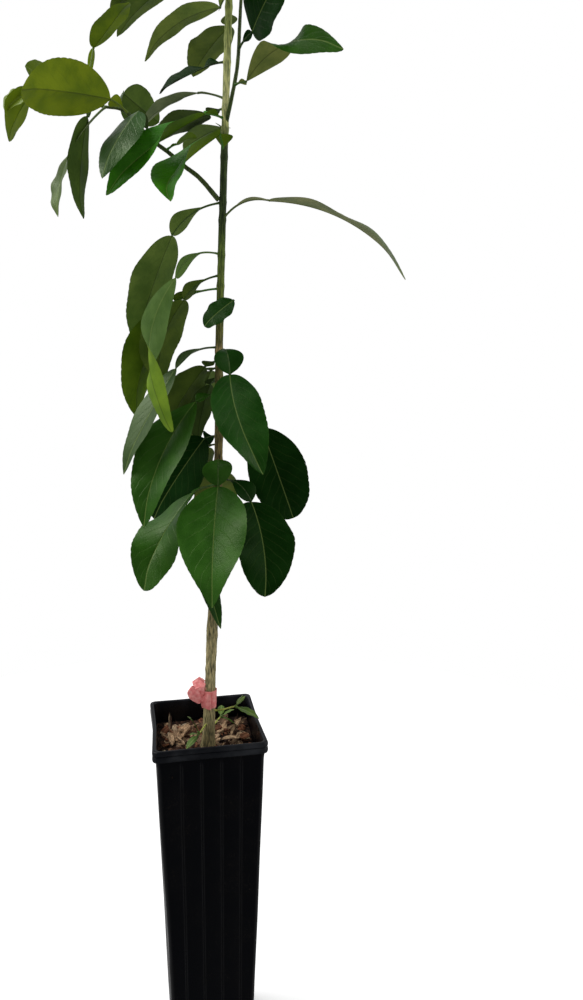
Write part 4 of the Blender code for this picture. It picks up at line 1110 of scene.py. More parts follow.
# %% Leaf mesh
UPPER, LOWER, STALK = 0, 1, 2
STALK_SIDES = 10
STALK_STEP = 0.0016
STALK_SWELL = 0.45              # how much thicker a petiole's foot and joint are
STALK_SWELL_REACH = (2.2, 1.6)  # and how far that goes there, of its radius
STALK_TAPER = 0.35
STALK_LEAST = 4                 # sections
SUNK_MOST = 0.3                 # of a petiole's length
EDGE_WAVES = (1.8, 3.0)         # along a blade
WAVE_SPREAD = (0.6, 1.3)
LAMINA_FULLNESS = 0.6
FOLD_NEAR, FOLD_FAR = 1.3, 0.3  # a fold is steeper near the midrib
RIM_SHARPNESS = 6               # how thin the edge of a blade gets
RIB_TAPER = 0.75                # how much lower the rib is at the tip
LEAF_SHARP = 50
OFF_LEAF = (0.5, -2.0)          # a petiole's place on the leaf map, where it has no veins
OFF_RIB = 1.0                   # and its distance from the midrib


class Gathered:
    """Points, faces and marks of one group of leaves."""

    def __init__(self):
        self.points, self.places, self.from_rib, self.tints = [], [], [], []
        self.faces, self.looks, self.waxes = [], [], []

    def ring(self, points, places, distances, tints):
        """Add the points of one section, and give the first one's number."""
        first = len(self.points)
        self.points += points
        self.places += places
        self.from_rib += distances
        self.tints += [tints] * len(points)
        return first

    def sweep(self, rings, count, looks, end_look, inward):
        """Faces from ring to ring and over both ends; inward turns them all round."""
        for low, high in zip(rings, rings[1:]):
            first, second = (high, low) if inward else (low, high)
            for k in range(count):
                n = (k + 1) % count
                self.faces.append((first + k, first + n, second + n, second + k))
        self.looks += looks * (len(rings) - 1) + [end_look] * 2
        for first, turned in ((rings[0], not inward), (rings[-1], inward)):
            corners = list(range(first, first + count))
            self.faces.append(corners[::-1] if turned else corners)


def columns(half):
    """Distances from the midrib at which one half of a section has points."""
    near = [min(distance, share * half) for distance, share in RIB_COLUMNS]
    far = [near[-1] + (half - near[-1]) * share for share in BLADE_COLUMNS]
    return near + far


def add_lamina(gathered, spec, sections, tints, draw):
    """The flat part of a leaf, wing and blade, as one closed strip."""
    fold_cos, fold_sin = cos(radians(spec.fold)), sin(radians(spec.fold))
    thickness = min(LAMINA, LAMINA_OF_LENGTH * spec.blade[2] * MM)
    size = min(spec.width / FULL_WIDTH, 1.0)
    waves = draw.uniform(*EDGE_WAVES)
    phases = (draw.random(), draw.random())
    height = WAVE_HEIGHT * draw.uniform(*WAVE_SPREAD)
    rings = []
    for middle, side, face, half, along in sections:
        distances = columns(half)
        over = [-d for d in reversed(distances)] + [0.0] + distances
        top, bottom = [], []
        fullness = max(sin(pi * along), 0.0)**LAMINA_FULLNESS if along > 0 else 0.0
        for across in over:
            share = across / half
            near = abs(share)
            phase = phases[0 if across < 0 else 1]
            wave = height * spec.width * fullness * near**2 * sin(2 * pi * (waves * along + phase))
            fold = half * fold_sin * near * (FOLD_NEAR - FOLD_FAR * near)
            shift = VEIN_SHIFT if across > 0 else 0.0
            bulge = cos(2 * pi * (along * VEIN_PAIRS - VEIN_SLANT * near + shift))
            quilt = QUILT_HEIGHT * size * fullness * bulge * 4 * near * (1 - near)
            ridge = exp(-(across / RIB_HALF)**2)
            middle_at = middle + side * across * fold_cos + face * (fold + wave + quilt)
            rim = 1 - near**RIM_SHARPNESS
            upward = 0.5 * thickness * rim - GROOVE_DEPTH * size * ridge * fullness
            taper = RIB_HEIGHT * size * (1 - RIB_TAPER * max(along, 0.0)) * ridge * rim
            top.append(middle_at + face * upward)
            bottom.append(middle_at - face * (0.5 * thickness * rim + taper))
        loop = top + bottom[-2:0:-1]
        around = over + over[-2:0:-1]
        places = [(0.5 + 0.5 * across / half, along) for across in around]
        rings.append(gathered.ring(loop, places, [abs(across) for across in around], tints))
    half_count = 2 * (len(RIB_COLUMNS) + len(BLADE_COLUMNS))
    looks = [UPPER] * half_count + [LOWER] * half_count
    gathered.sweep(rings, len(looks), looks, LOWER, False)


def add_stalk(gathered, foot, spec, start, tints):
    """The round petiole, from inside the wood to the joint, where it meets the midrib."""
    along, start_side, _ = stalk_sides(spec)
    length = spec.stalk[2] * MM
    half = min(PETIOLE_HALF, PETIOLE_OF_WIDTH * spec.width)
    count = max(int(length / STALK_STEP), STALK_LEAST)
    rings = []
    for k in range(count + 1):
        t = start + (1.0 - start) * k / count
        near_foot = exp(-((t - start) * length / (STALK_SWELL_REACH[0] * half))**2)
        near_joint = exp(-((1.0 - t) * length / (STALK_SWELL_REACH[1] * half))**2)
        radius = half * (1.0 - STALK_TAPER * t + STALK_SWELL * (near_foot + near_joint))
        middle = stalk_middle(foot, spec, t)
        other = start_side.cross(along)
        turns = [2 * pi * n / STALK_SIDES for n in range(STALK_SIDES)]
        points = [middle + (start_side * cos(a) - other * sin(a)) * radius for a in turns]
        rings.append(gathered.ring(points, [OFF_LEAF] * STALK_SIDES, [OFF_RIB] * STALK_SIDES,
                                   tints))
    gathered.sweep(rings, STALK_SIDES, [STALK] * STALK_SIDES, STALK, True)


def add_leaf(gathered, foot, spec, sunk):
    """A whole leaf that grows at foot; sunk is how far out its petiole starts."""
    draw = Random(spec.name)
    tints, wax = leaf_greens(spec.name, draw)
    sections = wing_sections(foot, spec) + blade_sections(foot, spec, draw.random())
    add_lamina(gathered, spec, sections, tints, draw)
    add_stalk(gathered, foot, spec, min(sunk / (spec.stalk[2] * MM), SUNK_MOST), tints)
    gathered.waxes += [wax] * (len(gathered.looks) - len(gathered.waxes))


def leaf_object(name, gathered):
    """A piece from the gathered leaves, with only those finishes that its leaves need."""
    mesh = plain_mesh(name, gathered.points, [], gathered.faces)
    slots = {}
    indices = [slots.setdefault(leaf_finishes[wax][look].name, len(slots))
               for wax, look in zip(gathered.waxes, gathered.looks)]
    for finish in slots:
        mesh.materials.append(bpy.data.materials[finish])
    mesh.polygons.foreach_set("material_index", indices)
    leaf_map = mesh.uv_layers.new(name="leaf")
    places = [gathered.places[corner.vertex_index] for corner in mesh.loops]
    leaf_map.data.foreach_set("uv", [value for place in places for value in place])
    mark(mesh, "from_rib", gathered.from_rib)
    for number, side in enumerate(("upper_tint", "under_tint")):
        tints = [value for tints in gathered.tints for value in tints[number]]
        mark(mesh, side, tints, "FLOAT_COLOR", "color")
    smoothed(mesh, LEAF_SHARP)
    return new_piece(name, mesh)


print("A lamina's section has", 4 * (len(RIB_COLUMNS) + len(BLADE_COLUMNS)), "points")

# %% [markdown]
# ## The crown, region by region
# Leaves that grow near each other become one piece, so that the tree has a handful of pieces
# instead of fifty, and each stays light enough to edit.

# %% Build the leaves
REGIONS = {                     # piece, and the heights between which its leaves grow
    "low_leaves": (0.50, 0.66), "middle_leaves": (0.66, 0.75), "upper_leaves": (0.75, 0.86),
    "crown_leaves": (0.86, 1.04),
}
BOUGH_SUNK = 0.0006             # how far out of the right bough's middle its petioles start


def leaf_group(name, specs, foot_of, sunk_of, nodes=None):
    """One piece of leaves, with the solids that it replaces: as a rule one for each leaf."""
    gathered = Gathered()
    for spec in specs:
        add_leaf(gathered, foot_of(spec), spec, sunk_of(spec))
    print("%s: %d leaves, %d faces" % (name, len(specs), len(gathered.faces)))
    return leaf_object(name, gathered), nodes or [spec.name for spec in specs]


def on_trunk(spec):
    return trunk_axis(spec.base)


def in_trunk(spec):
    return 0.5 * trunk_radius(spec.base)


def on_route(route, sunk=0.0):
    """Where a leaf grows on a branch, and how far out its petiole starts."""
    return lambda spec: route_point(route, spec.base), lambda spec: sunk


def on_sprout(spec):
    return route_point(SPROUTS[sprout_of[spec.name]], spec.base)


leaf_pieces = [
    leaf_group(name, [spec for spec in TRUNK_LEAVES if low <= spec.base < high],
               on_trunk, in_trunk)
    for name, (low, high) in REGIONS.items()]
leaf_pieces += [
    leaf_group("leader_leaves", leader_leaves(), on_trunk, in_trunk),
    leaf_group("right_bough_leaves", RIGHT_BOUGH_LEAVES, *on_route(RIGHT_BOUGH, BOUGH_SUNK)),
    leaf_group("left_shoot_leaves", LEFT_SHOOT_LEAVES, *on_route(LEFT_SHOOT), ["left_foliage"]),
    leaf_group("right_shoot_leaves", right_shoot_leaves(), *on_route(RIGHT_SHOOT),
               ["right_foliage"]),
]
sprout_of = {spec.name: sprout for sprout in SPROUTS for spec in leaflets(sprout)}
sprout_leaves, _ = leaf_group("sprout_leaves", [s for name in SPROUTS for s in leaflets(name)],
                              on_sprout, lambda spec: 0.0)

# %% [markdown]
# ## The pot
# A tree pot is blown from thin black plastic: a tall tapering box with rounded corners, four
# shallow grooves down each side, a lip rolled over at the top, and drain holes in the floor.  Its
# cross-section is the same rounded square all the way, so the wall is built from one outline that
# is drawn at many heights, down the outside and up again inside.

# %% Black plastic
BLACK = screen(3, 4, 9)
SCUFF_SHEEN_GREY = screen(60, 63, 68)
DUST = screen(118, 106, 92)
SCUFF_SHEEN_SHARES = (0.15, 0.6)      # how much lighter wear and the lip's painted sheen make it, least and most
DUST_SHARE = 0.22
SCUFF_SHEEN_EDGES = (0.40, 0.70)
DUST_EDGES, SPECK_EDGES = (0.45, 0.7), (0.62, 0.74)
SPECK_RELIEF = 0.25
POT_ROUGHNESS = (0.26, 0.44)

pot_plastic, tree, shader = new_material("pot_plastic", roughness=0.34, specular=0.18)
patches = mottled(tree, scale=34.0, detail=5.0)
drawn = mottled(tree, scale=260.0, stretch=14.0)
specks = mottled(tree, scale=1500.0, detail=2.0)
# Scuffs lighten worn places in patches; on the lip and its inner edge this lightening also paints
# in their sheen
scuff_and_sheen = times(tree, attribute(tree, "worn"), ease(tree, patches, *SCUFF_SHEEN_EDGES, *SCUFF_SHEEN_SHARES))
colour = mix(tree, scuff_and_sheen, BLACK, SCUFF_SHEEN_GREY)
dusty = times(tree, ease(tree, specks, *SPECK_EDGES), ease(tree, patches, *DUST_EDGES))
colour = mix(tree, times(tree, dusty, DUST_SHARE), colour, DUST)
tree.links.new(colour, shader.inputs["Base Color"])
tree.links.new(ease(tree, patches, *PATCH_EDGES, *POT_ROUGHNESS), shader.inputs["Roughness"])
relief = plus(tree, times(tree, specks, SPECK_RELIEF), drawn)
bump(tree, shader, relief, strength=0.35, distance=0.0004)
print("Pot finish:", pot_plastic.name)

# %% Pot measures
POT_HEIGHT = 0.356
RIM_SIDE = 0.1016
RIM_HEIGHT = 0.011
RIM_ROLL = 0.0026
INNER_ROLL = 0.55                 # the size of the lip's inner edge, of the roll
INNER_STEP = 0.002
LIP_TUCK = 0.0004
POT_SHARP = 40
LIP_CREASE = 0.3508              # between the lip's two rolls
LIP_DEPTH = 0.0018
LIP_SQUARENESS = 0.45
# the lip's and its inner edge's values paint in their sheen as well as their wear
LIP_WEAR_AND_SHEEN = 0.95
INNER_WEAR_AND_SHEEN = 0.7
INNER_GROOVE = 0.6               # how deep the grooves show inside, of outside
WALL_TOP_SIDE = 0.0969
WALL_FOOT_SIDE = 0.0800
FOOT_ROUNDING = 0.0022
FOOT_WEAR, UNDERSIDE_WEAR = 0.5, 0.3
POT_WALL = 0.0014
POT_FLOOR = 0.0020
CORNER_RADIUS = 0.0050
CORNER_POINTS = 12
CORNER_GAP = 0.002               # from a corner's round to the next point
GROOVE_OFFSETS = (-0.0267, -0.0089, 0.0089, 0.0267)
GROOVE_WIDTH = 0.0034
GROOVE_POINTS = 8
GROOVE_SUNK = 0.0010
GROOVE_FOOT = 0.007
GROOVE_END = 0.005
GROOVE_FADE = 0.003
DRAIN_RADIUS = 0.0048
DRAIN_REACH = 0.0312
DRAIN_SIDES = 32
WALL_STEP = 0.009
WALL_BOW = 0.01                 # how unevenly the thin wall was blown, of its width
BOW_SCALE = (22, 22, 9)
BOW_HEIGHT = 0.03               # below this the stiff foot holds it
ROLL_POINTS = 7
QUARTER = [0.5 * pi * k / (ROLL_POINTS - 1) for k in range(ROLL_POINTS)]
WARPED_CORNERS = (((-1, -1), (-3.6, -0.4)), ((1, -1), (2.2, -0.8)))    # corner, push in mm
WALL_WARP = 0.6                  # of the lip's
WARP_HEIGHTS = (0.05, 0.33)
WARP_RIM = (0.335, 0.347)

print("Pot: %.0f mm high and %.0f mm across the lip" % (POT_HEIGHT / MM, RIM_SIDE / MM))

# %% Pot outline and profile
def wall_side(height):
    """The pot body's outer width at a height."""
    return WALL_FOOT_SIDE + (WALL_TOP_SIDE - WALL_FOOT_SIDE) * height / (POT_HEIGHT - RIM_HEIGHT)


def square_outline(side, groove):
    """A rounded square with a soft groove at each offset of each side, going round it."""
    half = 0.5 * side
    outline = []
    for quarter in range(4):
        turn = 0.5 * pi * quarter
        points = [(half, -half + CORNER_RADIUS + CORNER_GAP)]
        for offset in GROOVE_OFFSETS:
            for k in range(GROOVE_POINTS + 1):
                t = k / GROOVE_POINTS
                sunk = groove * 0.5 * (1 - cos(2 * pi * t))
                points.append((half - sunk, offset + GROOVE_WIDTH * (t - 0.5)))
            points.append((half, offset + 0.5 * (GROOVE_OFFSETS[1] - GROOVE_OFFSETS[0])))
        points[-1] = (half, half - CORNER_RADIUS - CORNER_GAP)
        for k in range(CORNER_POINTS):
            a = 0.5 * pi * k / (CORNER_POINTS - 1)
            points.append((half - CORNER_RADIUS + CORNER_RADIUS * cos(a),
                           half - CORNER_RADIUS + CORNER_RADIUS * sin(a)))
        outline += [(x * cos(turn) - y * sin(turn), x * sin(turn) + y * cos(turn))
                    for x, y in points]
    return outline


def groove_at(height):
    top = POT_HEIGHT - RIM_HEIGHT - GROOVE_END
    return (GROOVE_SUNK * ramp(GROOVE_FOOT - GROOVE_FADE, GROOVE_FOOT + GROOVE_FADE, height)
            * (1 - ramp(top - GROOVE_FADE, top + GROOVE_FADE, height)))


def pot_profile():
    """Height, side, groove and wear of each ring, from the underside up and down the inside;
    on the lip the wear value also paints in its sheen.
    """
    rim_foot = POT_HEIGHT - RIM_HEIGHT
    rings = [(0.0, WALL_FOOT_SIDE - 2 * FOOT_ROUNDING, 0.0, UNDERSIDE_WEAR)]
    for a in QUARTER[1:]:
        height = FOOT_ROUNDING * (1 - cos(a))
        rings.append((height, wall_side(height) - 2 * FOOT_ROUNDING * (1 - sin(a)), 0.0,
                      FOOT_WEAR))
    count = int(rim_foot / WALL_STEP)
    heights = [FOOT_ROUNDING + (rim_foot - FOOT_ROUNDING) * k / count for k in range(1, count)]
    heights += [GROOVE_FOOT - GROOVE_FADE, GROOVE_FOOT, GROOVE_FOOT + GROOVE_FADE]
    top = rim_foot - GROOVE_END
    heights += [top - GROOVE_FADE, top, top + GROOVE_FADE]
    rings += [(height, wall_side(height), groove_at(height), 0.0) for height in sorted(heights)]
    rings.append((rim_foot, WALL_TOP_SIDE, 0.0, 0.0))
    for foot, top in ((rim_foot - LIP_TUCK, LIP_CREASE), (LIP_CREASE, POT_HEIGHT)):
        middle, reach = 0.5 * (foot + top), 0.5 * (top - foot)
        for k in range(2 * ROLL_POINTS):                # each of the lip's two rolls
            a = pi * (k / (2 * ROLL_POINTS - 1) - 0.5)
            full = cos(a)**LIP_SQUARENESS
            rings.append((middle + reach * sin(a), RIM_SIDE - 2 * LIP_DEPTH * (1 - full), 0.0,
                          LIP_WEAR_AND_SHEEN * full))
    inner = WALL_TOP_SIDE - 2 * POT_WALL
    for a in QUARTER:
        rings.append((POT_HEIGHT - RIM_ROLL * INNER_ROLL * (1 - cos(a)),
                      inner + 2 * RIM_ROLL * INNER_ROLL * (1 - sin(a)), 0.0, INNER_WEAR_AND_SHEEN))
    count = int((rim_foot - POT_FLOOR) / WALL_STEP)
    for k in range(count + 1):
        height = rim_foot - INNER_STEP - (rim_foot - INNER_STEP - POT_FLOOR) * k / count
        rings.append((height, wall_side(height) - 2 * POT_WALL,
                      INNER_GROOVE * groove_at(height), 0.0))
    return rings


print("Rings in the pot's profile:", len(pot_profile()))

# %% [markdown]
# ## From rings to a pot
# Each ring of the profile becomes a loop of points, the loops are joined, and four plugs cut the
# drain holes.  The thin wall is a little uneven, and this used pot's front corners are bent out of
# square, most at the lip.

# %% Build the pot
def warp(x, y, height):
    """How far the used pot's front corners are pushed out of square."""
    share = ramp(*WARP_HEIGHTS, height)
    rim = WALL_WARP + (1 - WALL_WARP) * ramp(*WARP_RIM, height)
    half = 0.5 * RIM_SIDE
    push = Vector((0.0, 0.0))
    for corner, way in WARPED_CORNERS:
        near = max(x * corner[0] / half, 0.0) * max(y * corner[1] / half, 0.0)
        push += MM * Vector(way) * near * share * rim
    return push


def build_pot():
    """The whole pot, with its drain holes cut."""
    bm = bmesh.new()
    wear_sheen_layer = bm.verts.layers.float.new("worn")
    loops = []
    for height, side, groove, wear_sheen_share in pot_profile():
        loop = []
        for x, y in square_outline(side, groove):
            spot = [value * scale for value, scale in zip((x, y, height), BOW_SCALE)]
            sway = noise.noise(Vector(spot))
            free = 1 + min(height / BOW_HEIGHT, 1.0) * WALL_BOW * sway
            push = warp(x, y, height)
            vertex = bm.verts.new((x * free + push.x, y * free + push.y, height))
            vertex[wear_sheen_layer] = wear_sheen_share
            loop.append(vertex)
        loops.append(loop)
    bridge(bm, loops)
    close_ends(bm, loops)
    shell = new_piece("pot_shell", mesh_of(bm, "pot_shell"))
    drains = [drain_cutter(0.25 * pi + 0.5 * pi * k) for k in range(4)]
    for cutter in drains:
        cut = shell.modifiers.new("drain", "BOOLEAN")
        cut.operation = "DIFFERENCE"
        cut.object = cutter
    whole = modified_mesh(shell)
    for piece in drains + [shell]:
        bpy.data.objects.remove(piece)
    whole.materials.clear()
    whole.materials.append(pot_plastic)
    smoothed(whole, POT_SHARP)
    return new_piece("tree_pot", whole)


def drain_cutter(turn):
    """A round plug where a drain hole goes through the pot's floor."""
    bm = bmesh.new()
    bmesh.ops.create_cone(bm, cap_ends=True, segments=DRAIN_SIDES, radius1=DRAIN_RADIUS,
                          radius2=DRAIN_RADIUS, depth=4 * POT_FLOOR)
    bmesh.ops.translate(bm, verts=bm.verts, vec=(DRAIN_REACH * cos(turn), DRAIN_REACH * sin(turn),
                                                 0.5 * POT_FLOOR))
    return new_piece("drain", mesh_of(bm, "drain"))


pot = build_pot()
print("Pot:", len(pot.data.polygons), "faces")

# %% [markdown]
# ## The potting mix
# Tree pots are filled with composted bark: dark damp crumbs with larger chips lying on top.  The
# bed is one block that fills the pot, and its top is uneven at two scales, made with noise.

# %% Build the bed of potting mix
SOIL_TOP = 0.3280
SOIL_RELIEF = 0.0016
SOIL_RISE = 0.006
SOIL_WAVES = (190, 170)
SOIL_GAP = 0.00035
SOIL_RINGS = 34
SOIL_LEVEL = (0.008, 0.020)     # flat nearer the trunk than the first, uneven from the second
CRUMB_SCALES = (420, 1100)
LUMP_EDGES = (0.42, 0.70)
CRUMB_EDGES, CRUMB_SHARE = (0.62, 0.72), 0.7
BED_SHARP = 60
SOIL_CRUMBS = 0.0013
SOIL_DARK = screen(26, 17, 13)
SOIL_BROWN = screen(74, 50, 38)
SOIL_TAN = screen(128, 104, 82)


def soil_height(x, y):
    """The uneven top of the potting mix, higher towards the back wall."""
    hump = sin(SOIL_WAVES[0] * x + 1.3) * cos(SOIL_WAVES[1] * y - 0.4) - 0.2
    rise = max(y, 0.0) / (0.5 * WALL_TOP_SIDE)
    level = ramp(*SOIL_LEVEL, hypot(x, y))
    coarse, fine = CRUMB_SCALES
    crumbs = noise.noise(Vector((x * coarse, y * coarse, 3.0)))
    crumbs += 0.5 * noise.noise(Vector((x * fine, y * fine, 7.0)))
    return SOIL_TOP + level * (SOIL_RELIEF * hump + SOIL_RISE * rise) + SOIL_CRUMBS * crumbs


def soil_material():
    material, tree, shader = new_material("potting_soil", roughness=0.95, specular=0.2)
    lumps = mottled(tree, scale=260.0, detail=6.0)
    crumbs = mottled(tree, scale=1300.0)
    colour = mix(tree, ease(tree, lumps, *LUMP_EDGES), SOIL_DARK, SOIL_BROWN)
    light = ease(tree, crumbs, *CRUMB_EDGES, 0.0, CRUMB_SHARE)
    colour = mix(tree, light, colour, SOIL_TAN)
    tree.links.new(colour, shader.inputs["Base Color"])
    bump(tree, shader, plus(tree, lumps, crumbs), strength=1.0, distance=0.0012)
    return material


def build_bed():
    """The block of mix: a tapering outline below, and rings of uneven height on top."""
    side_low = wall_side(POT_FLOOR) - 2 * POT_WALL - 2 * SOIL_GAP
    side_top = wall_side(SOIL_TOP) - 2 * POT_WALL - 2 * SOIL_GAP
    outline = square_outline(side_top, 0.0)
    bm = bmesh.new()
    loops = [[bm.verts.new((x * side_low / side_top, y * side_low / side_top,
                            POT_FLOOR + SOIL_GAP)) for x, y in outline]]
    for k in range(SOIL_RINGS):
        share = 1 - k / SOIL_RINGS
        loops.append([bm.verts.new((x * share, y * share, soil_height(x * share, y * share)))
                      for x, y in outline])
    bridge(bm, loops)
    bm.faces.new(list(reversed(loops[0])))
    crown = bm.verts.new((0.0, 0.0, soil_height(0.0, 0.0)))
    count = len(outline)
    for k in range(count):
        bm.faces.new((loops[-1][k], loops[-1][(k + 1) % count], crown))
    mesh = mesh_of(bm, "mix_bed", soil_material())
    smoothed(mesh, BED_SHARP)
    return new_piece("mix_bed", mesh)


bed = build_bed()
print("Bed of potting mix:", len(bed.data.polygons), "faces")

# %% [markdown]
# ## Bark chips by Geometry Nodes
# A few hundred chips lie on the mix, all of them different, and yet made from a handful of
# shapes.  Geometry Nodes scatter points over the bed, put a random shape on each, turn, tilt and
# size it at random, and give it a random number, *shade*, from which the material takes its
# colour.  Realize Instances makes them all real at the end, because an export drops instances.

# %% Chip shapes
CHIP_KINDS = (                  # length, width, thickness, bow, all in mm, and corners
    (13, 8, 2.6, 0.6, 9), (16, 6, 2.0, 1.5, 9), (10, 8, 3.2, 0.3, 8), (21, 4.5, 1.6, 2.6, 10),
    (8, 5, 2.4, 0.0, 7), (6, 4.5, 2.2, 0.0, 7), (26, 2.6, 1.2, 2.2, 9), (18, 9, 2.2, 1.0, 10),
)
CHIP_SEED = 8
CHIP_LAYERS = ((0.72, -0.5), (1.0, -0.2), (0.97, 0.22), (0.66, 0.5))    # breadth and height
CHIP_TURN, CHIP_REACH = 0.25, (0.78, 1.12)      # how unevenly its corners are set
CHIP_THICK, CHIP_SIDE = (0.7, 1.2), (0.9, 1.05)
CHIP_COLOURS = (                # place on the ramp and colour
    (0.00, (40, 26, 20)), (0.22, (78, 50, 36)), (0.40, (122, 78, 54)), (0.55, (112, 92, 74)),
    (0.72, (152, 124, 96)), (0.88, (178, 152, 122)), (1.00, (140, 130, 114)),
)
GRAIN_STRETCH = 0.12
GRAIN_EDGES = (0.35, 0.62)
DAMP_EDGES, DAMP_SHARE = (0.52, 0.72), 0.75
GRAIN_DARK, GRAIN_LIGHT = (0.40, 0.36, 0.34, 1.0), (1.35, 1.35, 1.30, 1.0)


def chip_material():
    material, tree, shader = new_material("bark_chips", roughness=0.88, specular=0.25)
    shade = attribute(tree, "shade")
    x, y, z = split(tree, attribute(tree, "chip_at", "Vector"))
    grain_at = joined(tree, times(tree, x, GRAIN_STRETCH), plus(tree, y, shade), z)
    grain = out(tree, "ShaderNodeTexNoise", {"Vector": grain_at, "Scale": 1400.0, "Detail": 3.0})
    colour = vary(tree, colour_ramp(tree, shade, CHIP_COLOURS), ease(tree, grain, *GRAIN_EDGES),
                  GRAIN_DARK, GRAIN_LIGHT)
    patches = mottled(tree, scale=240.0, detail=4.0)
    damp = ease(tree, patches, *DAMP_EDGES, 0.0, DAMP_SHARE)
    colour = mix(tree, damp, colour, SOIL_DARK)
    tree.links.new(colour, shader.inputs["Base Color"])
    bump(tree, shader, grain, strength=0.8, distance=0.0006)
    return material


def chip_mesh(number, kind, draw):
    """An irregular slab of bark, bowed along its length, with a few dozen faces."""
    length, width, thick, bow = (MM * value for value in kind[:4])
    corners = kind[4]
    outline = []
    for k in range(corners):
        turn = 2 * pi * (k + draw.uniform(-CHIP_TURN, CHIP_TURN)) / corners
        reach = draw.uniform(*CHIP_REACH)
        outline.append((0.5 * length * cos(turn) * reach, 0.5 * width * sin(turn) * reach))
    bm = bmesh.new()
    own = bm.verts.layers.float_vector.new("chip_at")
    loops = []
    for share, rise in CHIP_LAYERS:
        loop = []
        for x, y in outline:
            lift = bow * (2 * x / length)**2 + thick * rise * draw.uniform(*CHIP_THICK)
            vertex = bm.verts.new((x * share, y * share * draw.uniform(*CHIP_SIDE), lift))
            vertex[own] = vertex.co
            loop.append(vertex)
        loops.append(loop)
    bridge(bm, loops)
    close_ends(bm, loops)
    return mesh_of(bm, "chip_%d" % number)


draw = Random(CHIP_SEED)
chip_shapes = bpy.data.collections.new("chip_shapes")
for number, kind in enumerate(CHIP_KINDS):
    shape = bpy.data.objects.new("chip_%d" % number, chip_mesh(number, kind, draw))
    chip_shapes.objects.link(shape)

# %% Scatter the chips
CHIP_DENSITY = 42000.0          # chips to a square metre
CHIP_CLEAR = 0.0105             # kept free round the trunk
CHIP_WALL = 0.0415              # and inside the wall
CHIP_TILT = 0.42
CHIP_SIZES = (0.45, 1.25)
SPOT_SEED, TURN_SEED, SIZE_SEED, SHADE_SEED = 3, 5, 6, 7

scatter, given, result = new_group(
    "scatter chips", "GeometryNodeTree",
    [("Geometry", GEOMETRY, None), ("Shapes", "NodeSocketCollection", None),
     ("Density", FLOAT, CHIP_DENSITY), ("Smallest", FLOAT, CHIP_SIZES[0]),
     ("Largest", FLOAT, CHIP_SIZES[1]), ("Tilt", FLOAT, CHIP_TILT),
     ("Material", "NodeSocketMaterial", None)],
    [("Geometry", GEOMETRY)])
tree = scatter
x, y, _ = split(tree, out(tree, "GeometryNodeInputPosition"))
facing = split(tree, out(tree, "GeometryNodeInputNormal"))[2]
squares = plus(tree, times(tree, x, x), times(tree, y, y))
furthest = sum_up(tree, "MAXIMUM", sum_up(tree, "ABSOLUTE", x), sum_up(tree, "ABSOLUTE", y))
allowed = times(tree, sum_up(tree, "GREATER_THAN", facing, 0.5),
                sum_up(tree, "GREATER_THAN", squares, CHIP_CLEAR**2))
allowed = times(tree, allowed, sum_up(tree, "LESS_THAN", furthest, CHIP_WALL))
spots = add(tree, "GeometryNodeDistributePointsOnFaces",
            {"Mesh": given["Geometry"], "Selection": allowed, "Density": given["Density"],
             "Seed": SPOT_SEED}).outputs
shapes = out(tree, "GeometryNodeCollectionInfo", {0: given["Shapes"], 1: True, 2: True})
tilt = given["Tilt"]
back = times(tree, tilt, -1.0)
turns = out(tree, "FunctionNodeRandomValue",
            {0: joined(tree, back, back, 0.0), 1: joined(tree, tilt, tilt, 2 * pi),
             "Seed": TURN_SEED}, data_type="FLOAT_VECTOR")
turned = out(tree, "FunctionNodeRotateRotation",
             {0: spots["Rotation"], 1: out(tree, "FunctionNodeEulerToRotation", {0: turns})},
             rotation_space="LOCAL")
sizes = out(tree, "FunctionNodeRandomValue",
            {2: given["Smallest"], 3: given["Largest"], "Seed": SIZE_SEED}, 1, data_type="FLOAT")
chips = out(tree, "GeometryNodeInstanceOnPoints",
            {"Points": spots["Points"], "Instance": shapes, "Pick Instance": True,
             "Rotation": turned, "Scale": sizes})
shades = out(tree, "FunctionNodeRandomValue", {2: 0.0, 3: 1.0, "Seed": SHADE_SEED}, 1,
             data_type="FLOAT")
shaded = out(tree, "GeometryNodeStoreNamedAttribute",
             {"Geometry": chips, "Name": "shade", "Value": shades},
             data_type="FLOAT", domain="INSTANCE")
real = out(tree, "GeometryNodeRealizeInstances", {0: shaded})
tree.links.new(out(tree, "GeometryNodeSetMaterial",
                   {"Geometry": real, "Material": given["Material"]}), result[0])

bed_copy = new_piece("bed_copy", bed.data.copy())
chip_bark = chip_material()
chips = grown("bark_chips", bed_copy, scatter, {"Shapes": chip_shapes, "Material": chip_bark})
print("Bark chips:", len(chips.data.polygons), "faces")

# %% Lay the large pieces
LARGE_PIECES = (                # measures as above, middle in mm, bearing, rise, roll and shade
    ((20, 1.8, 1.4, 1.0, 7), (-33.0, 29, 341), 80, 80, 0, 0.95),
    ((24, 7.0, 3.0, 1.6, 10), (-32.5, 12, 334), 95, 5, 20, 0.80),
    ((31, 13.0, 4.0, 2.0, 11), (-21.0, 23, 335), 62, 7, -15, 0.72),
    ((27, 2.6, 1.6, 2.0, 9), (-24.5, 6, 336), 287, 6, 0, 0.88),
    ((20, 5.0, 1.4, 2.4, 9), (24.0, 1, 336), 350, 5, 12, 0.86),
    ((26, 5.5, 1.6, 3.0, 9), (31.5, 19, 339), 54, 20, 0, 0.80),
    ((11, 8.0, 2.4, 0.5, 8), (38.0, 3, 335), 0, 10, 25, 0.42),
    ((16, 9.0, 2.6, 0.8, 9), (12.0, 24, 334), 20, 4, 5, 0.30),
)


